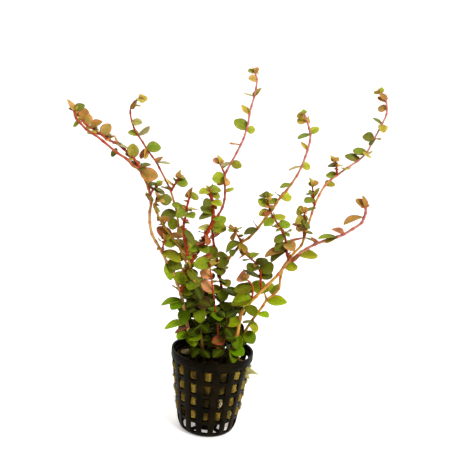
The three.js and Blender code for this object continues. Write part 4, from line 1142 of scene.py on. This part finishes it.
def joint_depths(plant, grown):
    """Main stem: foot depth to tip depth as share^1.5. Shoot: its parent's depth there plus its lean."""
    seat = np.array([joint[:2] for joint in plant["joints"]], float)
    steps = run_lengths(seat)
    share = steps / steps[-1]
    if "parent" not in plant:
        foot, tip = plant["depth"]
        return seat, foot + (tip - foot) * share ** 1.5
    parent = grown[plant["parent"]]
    nearest = np.linalg.norm(parent["seat"] - seat[0], axis=1).argmin()
    return seat, parent["depth"][nearest] + plant["lean"] * share


def lay_route(plant, grown):
    """Where the joints are in space, and the stem's middle line: a main stem also runs down into the wool."""
    seat, depth = joint_depths(plant, grown)
    joints = slide(seat[:, 0], seat[:, 1], depth)
    route = joints
    if "parent" not in plant:
        planted = [(*plant["root"], height) for height in ROOT_HEIGHTS]
        route = np.vstack([planted, joints])
    return dict(seat=seat, depth=depth, joints=joints, line=smooth_route(route, STEM_STEP))


grown = {}
for plant in PLANTS:
    grown[plant["name"]] = lay_route(plant, grown)
print("the longest stem runs", round(max(len(g["line"]) for g in grown.values()) * STEM_STEP), "mm")

# %% [markdown]
# ## Stems
#
# A rotala stem is a smooth round straw, a little thicker at each joint and thinner towards the tip. Low down
# it has a tan or orange bark, and the young length is pink to dark red. The tube is given that colour point
# by point from two named tones, one for its foot and one for its tip, reddens at each joint, and inside the
# bunch it is darkened with painted shade.

# %% Tones of the plant
STEM_COLOURS = {
    "straw": srgb(206, 176, 106), "tan": srgb(186, 142, 58), "orange": srgb(200, 150, 62),
    "olive": srgb(146, 122, 34), "rose": srgb(168, 82, 56), "pink": srgb(196, 132, 118),
    "red": srgb(160, 58, 20), "wine": srgb(144, 62, 22), "shade": srgb(60, 36, 8),
}
# deep and shaded are greens darkened with painted shade, for leaves inside the bunch; dusky is a dark
# red-brown used there.
LEAF_TONES = {
    "bright": srgb(160, 167, 13), "green": srgb(129, 146, 8), "middle": srgb(110, 126, 6),
    "dark": srgb(102, 105, 4), "deep": srgb(46, 50, 3), "olive": srgb(172, 156, 40),
    "tan": srgb(196, 147, 72), "brown": srgb(168, 112, 41), "red": srgb(166, 76, 40),
    "pink": srgb(222, 142, 98), "pale": srgb(200, 192, 100), "grey": srgb(176, 166, 112),
    "shaded": srgb(26, 28, 3), "dusky": srgb(62, 34, 14), "crimson": srgb(138, 54, 38),
}

# %% Stem tubes
STEM_SIDES = 8
STEM_FULLNESS = 1.34
STEM_TAPER = 0.4
JOINT_SWELL = 0.2
JOINT_REACH = 1.1
JOINT_REDDENS = 0.5 * np.array([0.2, 1.0, 0.9])
RIPE_SHARES = (0.42, 0.84)
# Painted shade: below DARK_BELOW, or a stem's own dark_below, its colour falls to DARKEST times itself.
DARK_BELOW = 58.0
DARK_EDGE = 8.0
DARKEST = 0.2


def stem_surface(plant, way):
    """Radius = base x (1 to 0.6 along the run) + a swelling of 0.2 x base within a millimetre of a joint.
    A stem inside the bunch is darkened with painted shade up to where it comes out of the other leaves. The
    colour is given for each point in the order of close_skins."""
    line = way["line"]
    share = np.linspace(0, 1, len(line))
    gap = np.linalg.norm(line[:, None] - way["joints"][None], axis=-1).min(1)
    swell = np.exp(-(gap / JOINT_REACH) ** 2)
    base = plant["radius"] * STEM_FULLNESS * plant.get("full", 1.0)
    radius = base * (1 - STEM_TAPER * share) + JOINT_SWELL * base * swell
    foot, tip = (np.array(STEM_COLOURS[tone][:3]) for tone in plant.get("bark", ("shade", "shade")))
    ripe = smoothstep(*RIPE_SHARES, share)[:, None]
    colour = foot * (1 - ripe) + tip * ripe
    colour = colour * (1 - swell[:, None] * JOINT_REDDENS)
    dark_below = plant.get("dark_below", DARK_BELOW)
    out = smoothstep(dark_below - DARK_EDGE, dark_below, line[:, 2:])
    colour = colour * (DARKEST + (1 - DARKEST) * out)
    tint = np.concatenate([np.repeat(colour, STEM_SIDES, axis=0), colour[:1], colour[-1:]])
    return line[None], radius[None], tint


# %% [markdown]
# ## Leaves
#
# A leaf is a small round blade, widest a little before its middle, with no stalk to speak of. It could be a
# flat card, but a card shows nothing from the side. Here it is a lens-shaped tube: ten points round and
# nine rings along, closed at the foot and the tip. Cupping lifts its edges, and a droop bends it back.

# %% Where a leaf points
USUAL_LOW = (9.2, 60.0)
USUAL_HIGH = (6.6, 190.0)
LEAF_WIDTH = 0.93
LEAF_THICKNESS = 0.34
LONGER_THAN_SEEN = 1.04


def usual_length(height):
    """A leaf's usual length, from USUAL_LOW's length at its height to USUAL_HIGH's."""
    rise = smoothstep(USUAL_LOW[1], USUAL_HIGH[1], height)
    return USUAL_LOW[0] + (USUAL_HIGH[0] - USUAL_LOW[0]) * rise


def leaf_frames(base, seen, facing, size):
    """For each leaf its length and three directions: along the blade, square to it, and across it. The part
    of its length that isn't seen runs towards the viewer or away, and the blade is rolled by acos(facing)."""
    reach = np.linalg.norm(seen, axis=1)
    length = np.maximum(usual_length(base[:, 2]) * size, reach * LONGER_THAN_SEEN)
    way = np.where(seen[:, 1] * facing < 0, -1.0, 1.0)
    hidden = np.sqrt(length ** 2 - reach ** 2) * way
    along = unit(np.stack([seen[:, 0], hidden, seen[:, 1]], 1))
    sight = unit(EYE - base)
    face = unit(sight - along * np.sum(sight * along, 1, keepdims=True))
    side = np.cross(along, face)
    lift = np.where(side[:, 2] >= 0, 1.0, -1.0)
    roll = np.arccos(np.clip(facing, 0, 1))
    square = face * np.cos(roll)[:, None] + side * (lift * np.sin(roll))[:, None]
    return length, along, square, np.cross(square, along)


# %% The blade
BLADE_RINGS = np.array([0.02, 0.09, 0.2, 0.34, 0.5, 0.66, 0.8, 0.91, 0.975])
BLADE_POINTS = 10
BLADE_ANGLES = np.linspace(0, 2 * np.pi, BLADE_POINTS, endpoint=False)
ROUND_UP_TO = 9.0
LONGER_SHARE = 0.4
WIDTH_SHARES = (0.78, 1.06)
CUP_SHARES = (0.02, 0.3)
CUP_WAYS = [1.0, 1.0, -0.6]
MOST_FOLD = 0.34
DROOP_SHARES = (0.05, 0.09)
WAVE_SPREAD = 0.05


def blade_rings(base, length, along, square, across, rng):
    """A blade is nearly round up to 9 mm, and what is longer is narrower for its length.
    At share u of its length the half width is W sin(pi u^0.9)^0.6, and a point round the lens at angle q
    is along*u + across*w cos q + square*(thickness sin q + cup (w cos q)^2 + fold |w cos q| - droop u^2).
    A wave along the blade twists it a little."""
    count = len(base)
    u = BLADE_RINGS[None, :, None]
    outline = np.sin(np.pi * BLADE_RINGS ** 0.9) ** 0.6
    rounded = np.minimum(length, ROUND_UP_TO + LONGER_SHARE * (length - ROUND_UP_TO))
    each = (count, 1, 1)
    width = (LEAF_WIDTH / 2 * rounded * rng.uniform(*WIDTH_SHARES, count))[:, None, None]
    cup = rng.uniform(*CUP_SHARES, each) * rng.choice(CUP_WAYS, each)
    fold = rng.uniform(0.0, MOST_FOLD, each)
    droop = rng.normal(*DROOP_SHARES, each) * length[:, None, None]
    wave = rng.normal(0, WAVE_SPREAD, each) * np.sin(5 * u + rng.uniform(0, 6, each))
    x = width * outline[None, :, None] * np.cos(BLADE_ANGLES)
    thick = LEAF_THICKNESS / 2 * np.sin(BLADE_ANGLES) * (0.4 + 0.6 * outline[None, :, None])
    z = thick + cup * x ** 2 / width + fold * np.abs(x) + wave * x - droop * u ** 2
    centre = base[:, None, None] + along[:, None, None] * (length[:, None, None, None] * u[..., None])
    rings = centre + across[:, None, None] * x[..., None] + square[:, None, None] * z[..., None]
    tip = base + along * length[:, None] - square * droop[:, 0]
    return rings, base, tip


def blade_coordinates(count):
    """Each point's share along the blade and across it, as a UV map, and 1 on the upper side, 0 below."""
    u = np.repeat(BLADE_RINGS, BLADE_POINTS)
    v = np.tile(0.5 + 0.5 * np.cos(BLADE_ANGLES), len(BLADE_RINGS))
    upper = np.tile(np.clip(0.5 + np.sin(BLADE_ANGLES), 0, 1), len(BLADE_RINGS))
    uv = np.concatenate([np.stack([u, v], 1), [[0, 0.5], [1, 0.5]]])
    return np.tile(uv, (count, 1)), np.tile(np.concatenate([upper, [0.5, 0.5]]), count)


# %% Which leaves a stem carries
BUSHY_BETWEEN = (58.0, 104.0)
BUSHY_PAIR = [[-2.6, 1.8, 0.9, "middle"], [2.6, -2.8, 0.9, "dark"]]
FILL_PITCH = 5.0
FILL_LENGTH = (5.5, 8.0)
FILL_RISE = (-3.0, 3.5)
FILL_FACING = (0.2, 1.0)
FILL_TONES = [
    # up to this height, the tones to draw from: low in the bunch they are darkened with painted shade
    (60.0, ["shaded", "shaded", "deep", "dusky"]),
    (84.0, ["deep", "deep", "dark", "dusky"]),
    (np.inf, ["dark", "middle", "olive"]),
]
YOUNG_ABOVE = 95.0
YOUNG_MOST = 3
YOUNG_TURN = (-0.3, np.pi + 0.3)
YOUNG_LENGTH = (1.4, 3.4)
YOUNG_FACING = (0.3, 0.9)
YOUNG_TONES = ["brown", "olive", "green", "tan", "dark"]
YOUNG_SIZE = 0.5
TIP_LEAVES = 4
TIP_SPREAD = 1.1
TIP_LENGTH = (1.8, 3.8)
TIP_FACING = (0.5, 1.0)
TIP_TONES = ["brown", "tan", "olive", "green"]


def fill_leaves(plant, way, rng):
    """Low on a shaded stem the pairs are close: one every few millimetres, each turned at random."""
    line = way["line"]
    rows = []
    for height in np.arange(*plant.get("fill", (0, 0)), FILL_PITCH):
        place = line[np.abs(line[:, 2] - height).argmin()]
        tones = next(tones for top, tones in FILL_TONES if height < top)
        turn = rng.uniform(0, np.pi)
        for side in (0.0, np.pi):
            across = rng.uniform(*FILL_LENGTH) * np.cos(turn + side)
            rise = rng.uniform(*FILL_RISE)
            facing = rng.uniform(*FILL_FACING)
            rows.append((place, across, rise, facing, rng.choice(tones), 1.0))
    return rows


def young_leaves(plant, way, rng):
    """Where a new shoot starts in the corner of a leaf, up to three tiny blades crowd round the joint."""
    rows = []
    for (_, height, *_), place in zip(plant["joints"], way["joints"]):
        if plant.get("young") and height > YOUNG_ABOVE:
            for _ in range(rng.integers(1, YOUNG_MOST + 1)):
                turn = rng.uniform(*YOUNG_TURN)
                size = rng.uniform(*YOUNG_LENGTH)
                tone = rng.choice(YOUNG_TONES)
                seen = size * np.cos(turn), size * np.sin(turn)
                rows.append((place, *seen, rng.uniform(*YOUNG_FACING), tone, YOUNG_SIZE))
    return rows


def tip_leaves(plant, way, rng):
    """A growing tip ends in a bud of small blades that spread from the stem's own direction. The shaded stems
    end under the other leaves and have none."""
    if plant["name"].startswith("shaded"):
        return []
    ahead = way["joints"][-1] - way["joints"][-2]
    heading = np.arctan2(ahead[2], ahead[0])
    rows = []
    for spread in rng.uniform(-TIP_SPREAD, TIP_SPREAD, TIP_LEAVES):
        size = rng.uniform(*TIP_LENGTH)
        tone = rng.choice(TIP_TONES)
        seen = size * np.cos(heading + spread), size * np.sin(heading + spread)
        rows.append((way["joints"][-1], *seen, rng.uniform(*TIP_FACING), tone, YOUNG_SIZE))
    return rows


def leaf_list(plant, way, seed):
    """Rows of (joint place, seen across, seen up, facing, tone, size against the usual)."""
    rows = []
    for (_, height, *leaves), place in zip(plant["joints"], way["joints"]):
        if plant.get("bushy") and not leaves and BUSHY_BETWEEN[0] < height < BUSHY_BETWEEN[1]:
            leaves = BUSHY_PAIR
        for leaf in leaves:
            rows.append((place, *leaf, 1.0))
    rng = np.random.default_rng(seed)
    for more in (fill_leaves, young_leaves, tip_leaves):
        rows += more(plant, way, rng)
    return rows


GREEN_BELOW = 120.0
GREEN_FADE = 60.0
GREENER = np.array([0.22, -0.3, 0.0])
PALE_TOPS = 0.03
PALE_BETWEEN = (60.0, 170.0)


def dress_leaves(rows, rng):
    """Turns the rows into blades. A leaf low in the bunch is greener, and one near the top a little paler."""
    count = len(rows)
    base, seen, facing, tone, size = (np.array(column) for column in (
        [row[0] for row in rows], [row[1:3] for row in rows], [row[3] for row in rows],
        [LEAF_TONES[row[4]][:3] for row in rows], [row[5] for row in rows]))
    length, along, square, across = leaf_frames(base, seen, facing, size)
    blades = close_skins(*blade_rings(base, length, along, square, across, rng))
    uv, upper = blade_coordinates(count)
    tone = tone * rng.uniform(0.82, 1.18, (count, 1)) * rng.uniform(0.9, 1.1, (count, 3))
    height = base[:, 2:]
    shade = smoothstep(GREEN_BELOW, GREEN_BELOW - GREEN_FADE, height) * rng.uniform(0.2, 1.2, (count, 1))
    tone = tone * (1 - shade * GREENER) + PALE_TOPS * smoothstep(*PALE_BETWEEN, height)
    return blades, uv, upper, np.repeat(tone, len(upper) // count, axis=0)


# %% Finishes of the plant
def leaf_finish():
    """A waxy blade: its own tint with mottling, greener along the middle, rosier at the rim, darker towards
    the stem, with a faint midrib and side veins and a duller underside."""
    finish, tree, shader = new_finish("rotala_leaf", Specular_IOR_Level=0.03)
    uv = node(tree, "ShaderNodeUVMap", {"uv_map": "UVMap"}).outputs["UV"]
    along, across = node(tree, "ShaderNodeSeparateXYZ", Vector=uv).outputs[:2]
    off_centre = maths(tree, "ABSOLUTE", maths(tree, "SUBTRACT", across, 0.5))
    midrib = remap(tree, off_centre, 0.0, 0.06, 1.0, 0.0)
    slant = maths(tree, "SUBTRACT", maths(tree, "MULTIPLY", along, 34.0),
                  maths(tree, "MULTIPLY", off_centre, 26.0))
    veins = remap(tree, maths(tree, "SINE", slant), 0.75, 1.0)
    vein_mark = maths(tree, "MAXIMUM", midrib, maths(tree, "MULTIPLY", veins, 0.3))
    place = object_place(tree)
    mottle = noise(tree, place, 650.0, 4.0)
    patch = noise(tree, place, 170.0, 2.0)
    shade = maths(tree, "MULTIPLY", remap(tree, mottle, 0.3, 0.7, 0.74, 1.2),
                  remap(tree, along, 0.0, 0.5, 0.72, 1.0))
    mottled = tinted(tree, mesh_layer(tree, "tint", "Color"), shade)
    warm = remap(tree, noise(tree, place, 110.0, 2.0), 0.48, 0.68, 0.0, 0.28)
    mottled = blend_colours(tree, warm, mottled, tinted(tree, mottled, (1.5, 0.72, 0.9, 1)))
    middle = remap(tree, off_centre, 0.1, 0.34, 0.3, 0.0)
    greener = blend_colours(tree, middle, mottled, srgb(98, 116, 12))
    rim = maths(tree, "MULTIPLY", remap(tree, off_centre, 0.36, 0.5, 0.0, 0.36),
                remap(tree, patch, 0.4, 0.6, 0.2, 1.0))
    rosier = blend_colours(tree, rim, greener, tinted(tree, greener, (1.5, 0.5, 0.7, 1)))
    veined = blend_colours(tree, maths(tree, "MULTIPLY", vein_mark, 0.12), rosier, srgb(170, 160, 60))
    below = blend_colours(tree, 0.4, veined, srgb(146, 112, 50))
    wire(tree, shader, Base_Color=blend_colours(tree, mesh_layer(tree, "upper"), below, veined),
         Roughness=remap(tree, mottle, 0.3, 0.7, 0.42, 0.6), Normal=bump(tree, vein_mark, 0.3, 0.0002))
    return finish


def stem_finish():
    """Smooth young bark: its own tint, finely mottled, and satin."""
    finish, tree, shader = new_finish("rotala_stem", Specular_IOR_Level=0.08)
    mottle = noise(tree, object_place(tree), 900.0, 4.0)
    shade = remap(tree, mottle, 0.3, 0.7, 0.74, 1.22)
    wire(tree, shader, Base_Color=tinted(tree, mesh_layer(tree, "tint", "Color"), shade),
         Roughness=remap(tree, mottle, 0.3, 0.7, 0.32, 0.5), Normal=bump(tree, mottle, 0.25, 0.0002))
    return finish


# %% Grow every stem with its leaves
STEM_FINISH = stem_finish()
LEAF_FINISH = leaf_finish()
BLADE_SEEDS = 100
LEAF_SEEDS = 600


def grow(plant, way, index):
    """One piece for a stem and its leaves, with two finishes, in place of the plain solid."""
    line, radius, bark = stem_surface(plant, way)
    stem = tubes(line, radius, STEM_SIDES)
    bare = len(stem[0])
    rows = leaf_list(plant, way, LEAF_SEEDS + index)
    blades, uv, upper, tint = dress_leaves(rows, np.random.default_rng(BLADE_SEEDS + index))
    points, quads, fans = join_skins([stem, blades])
    uv = np.concatenate([np.zeros((bare, 2)), uv])
    upper = np.concatenate([np.ones(bare), upper])
    tint = np.concatenate([bark, tint])
    piece = put_mesh(plant["name"] + "_grown", points, quads, fans, [("tint", tint), ("upper", upper)], uv)
    piece.data.materials.append(STEM_FINISH)
    piece.data.materials.append(LEAF_FINISH)
    which = np.ones(len(quads) + len(fans), np.int32)
    which[:len(stem[1])] = 0
    which[len(quads):len(quads) + len(stem[2])] = 0
    piece.data.polygons.foreach_set("material_index", which)
    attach(piece, "root")
    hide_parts(plant["name"])
    return len(rows)


leaf_count = sum(grow(plant, grown[plant["name"]], index) for index, plant in enumerate(PLANTS))
print(leaf_count, "leaves on", len(PLANTS), "stems and shoots")

# %% [markdown]
# ## Small loose things
#
# Two wisps of wool stick out of a slot on the right, an old dry leaf and a pale granule lie by the stems, and
# pale roots show behind two slots. Each is a skin again, made from the same helpers.

# %% Wisps of wool
WISP_TURN = np.radians(POT_TURN - 360 / COLUMNS)
WISPS = {
    "wool_wisp_upper": dict(height=41.4, out=8.5, drop=1.4, bend=3.0, fibres=260, spread=1.1),
    "wool_wisp_lower": dict(height=39.1, out=3.8, drop=3.0, bend=1.0, fibres=160, spread=0.8),
}
WISP_SPACING = 0.6
WISP_STEPS = 9
WISP_RADIUS = 0.07


def wisp_line(height, out, drop, bend):
    """The middle line of a wisp: out of a slot, level at first, then drooping and bent to the back."""
    reach = wall_radius(height) - WALL - WOOL_GAP + 0.3
    route = np.array([[reach, 0, height], [reach + 0.4 * out, 0.15 * bend, height + 0.3],
                      [reach + 0.76 * out, 0.55 * bend, height - drop / 3],
                      [reach + out, bend, height - drop]])
    cos, sin = np.cos(WISP_TURN), np.sin(WISP_TURN)
    return smooth_route(route @ np.array([[cos, sin, 0], [-sin, cos, 0], [0, 0, 1]]), WISP_SPACING)


def wisp_bundle(line, count, spread, rng):
    """Fibres round the middle line: each starts at the slot, wide of the line, and comes closer to it up to
    where it stops."""
    share = np.linspace(0, 1, WISP_STEPS)[None, :, None]
    stop = rng.beta(1.2, 1.6, (count, 1, 1)) * 0.85 + 0.15
    spot = share * stop * (len(line) - 1)
    low = np.floor(spot[..., 0]).astype(int).clip(0, len(line) - 2)
    part = spot - low[..., None]
    core = line[low] * (1 - part) + line[low + 1] * part
    offset = rng.normal(0, spread, (count, 1, 3)) * np.array([0.6, 0.6, 1.0])
    wave = rng.normal(0, 0.25, (count, 1, 3)) * np.sin(share * rng.uniform(3, 9, (count, 1, 1)))
    return core + offset * (1 - 0.88 * share * stop) + wave


for solid, shape in WISPS.items():
    rng = np.random.default_rng(int(shape["height"]))
    line = wisp_line(shape["height"], shape["out"], shape["drop"], shape["bend"])
    paths = wisp_bundle(line, shape["fibres"], shape["spread"], rng)
    radii = np.full(paths.shape[:2], WISP_RADIUS)
    points, quads, fans = tubes(paths, radii, FIBRE_SIDES, (0, 0.3, 0.9))
    wisp = put_mesh(solid + "_fibres", points, quads, fans, [("patches_and_shade", np.zeros(len(points)))])
    wisp.data.materials.append(wool_finish(
        solid + "_finish", pale=srgb(232, 226, 156), dark=srgb(196, 184, 104), relief=0.2, warmth=0.0))
    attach(wisp, "root")
    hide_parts(solid)

# %% Dry leaf and granule
DRY_LEAF_LENGTH = 8.6
DRY_LEAF_NARROW = 0.62
DRY_LEAF_CRUMPLE = 0.4


def lay_dry_leaf():
    """A blade as above, but long, crumpled and lying on the wool by the left of the rim."""
    base = np.array([[-20.0, 8.4, 43.0]])
    along = unit(np.array([[0.95, 0.29, 0.0]]))
    square = unit(np.array([[0.0, -0.4, 0.92]]))
    square = unit(square - along * np.sum(square * along))
    across = DRY_LEAF_NARROW * np.cross(square, along)
    rng = np.random.default_rng(4)
    rings, foot, tip = blade_rings(base, np.array([DRY_LEAF_LENGTH]), along, square, across, rng)
    rings = rings + DRY_LEAF_CRUMPLE * lumps(rings, size=5.0, seed=2)[..., None] * np.array([0, 0, 1.0])
    return put_mesh("fallen_dry_leaf", *close_skins(rings, foot, tip))


def lay_granule():
    """A ball of 12 by 8 points, flattened and dented by lumps."""
    ring = np.linspace(0, np.pi, 10)[1:-1, None]
    angle = np.linspace(0, 2 * np.pi, 12, endpoint=False)[None]
    ball = turned(np.sin(ring), angle, -np.cos(ring))
    centre = np.array([1.6, 7.4, WOOL_TOP - WOOL_SLOPE * 7.4 + 1.3])
    half = np.array([1.3, 1.0, 0.9])
    dented = ball * (1 + 0.14 * lumps(ball, size=1.4, seed=6)[..., None]) * half + centre
    pole = np.array([[0, 0, half[2]]])
    return put_mesh("pale_granule_grain", *close_skins(dented[None], centre - pole, centre + pole))


old_leaf = lay_dry_leaf()
old_leaf.data.materials.append(grained_finish(
    "dry_leaf", scale=500.0, detail=5.0, reach=(0.35, 0.65), dark=srgb(92, 74, 36), pale=srgb(172, 154, 100),
    relief=0.5, Specular_IOR_Level=0.3, Roughness=0.8))
granule = lay_granule()
granule.data.materials.append(grained_finish(
    "granule", scale=1500.0, detail=4.0, reach=(0.35, 0.65), dark=srgb(150, 132, 94),
    pale=srgb(214, 202, 164), relief=0.5, Roughness=0.7))
for piece, solid, slot in ((old_leaf, "dry_leaf", "dry_leaf"), (granule, "pale_granule", "granule")):
    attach(piece, "root")
    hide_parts(solid)

# %% Roots behind the slots
ROOT_LINES = [
    [(17.6, 26.6), (19.6, 25.2), (17.8, 23.8), (20.2, 22.6), (18.4, 21.4), (20.6, 20.4)],
    [(22.6, 26.6), (21.4, 25.0), (22.8, 23.6), (20.8, 22.4), (22.4, 20.8)],
    [(19.4, 26.6), (21.4, 24.6), (19.6, 22.6), (21.8, 21.0)],
    [(50.5, 17.6), (47.5, 15.4), (46.0, 13.0), (43.5, 10.4), (42.0, 7.6), (38.5, 5.4)],
    [(49.0, 12.0), (46.2, 9.6), (44.6, 7.4), (45.4, 5.6)],
]
ROOT_LIFT = 0.4
ROOT_STEP = 0.35
ROOT_RADIUS = 0.16
ROOT_SIDES = 5


def root_path(marks):
    """A root is marked as (degrees round from the front, height) and lies on the wool, or below the plug just
    inside the wall's skin."""
    degrees, height = np.array(marks).T
    angle = np.radians(degrees - 90)
    on_wool = plug_radius(angle, height) + ROOT_LIFT
    radius = np.where(height > WOOL_FOOT + 6, on_wool, wall_radius(height) - 0.5)
    return smooth_route(turned(radius, angle, height), ROOT_STEP)


def lay_roots():
    """A five-sided tube along each root's path."""
    lines = [root_path(marks)[None] for marks in ROOT_LINES]
    return put_mesh("pale_roots", *join_skins(
        tubes(line, np.full(line.shape[:2], ROOT_RADIUS), ROOT_SIDES, (0.3, -0.9, 0.1)) for line in lines))


roots = lay_roots()
roots.data.materials.append(grained_finish(
    "pale_root", scale=1100.0, detail=3.0, reach=(0.3, 0.7), dark=srgb(168, 138, 96),
    pale=srgb(232, 214, 180), Roughness=0.5, Subsurface_Weight=0.2, Subsurface_Scale=0.0005))
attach(roots, "root")
print(len(ROOT_LINES), "roots")
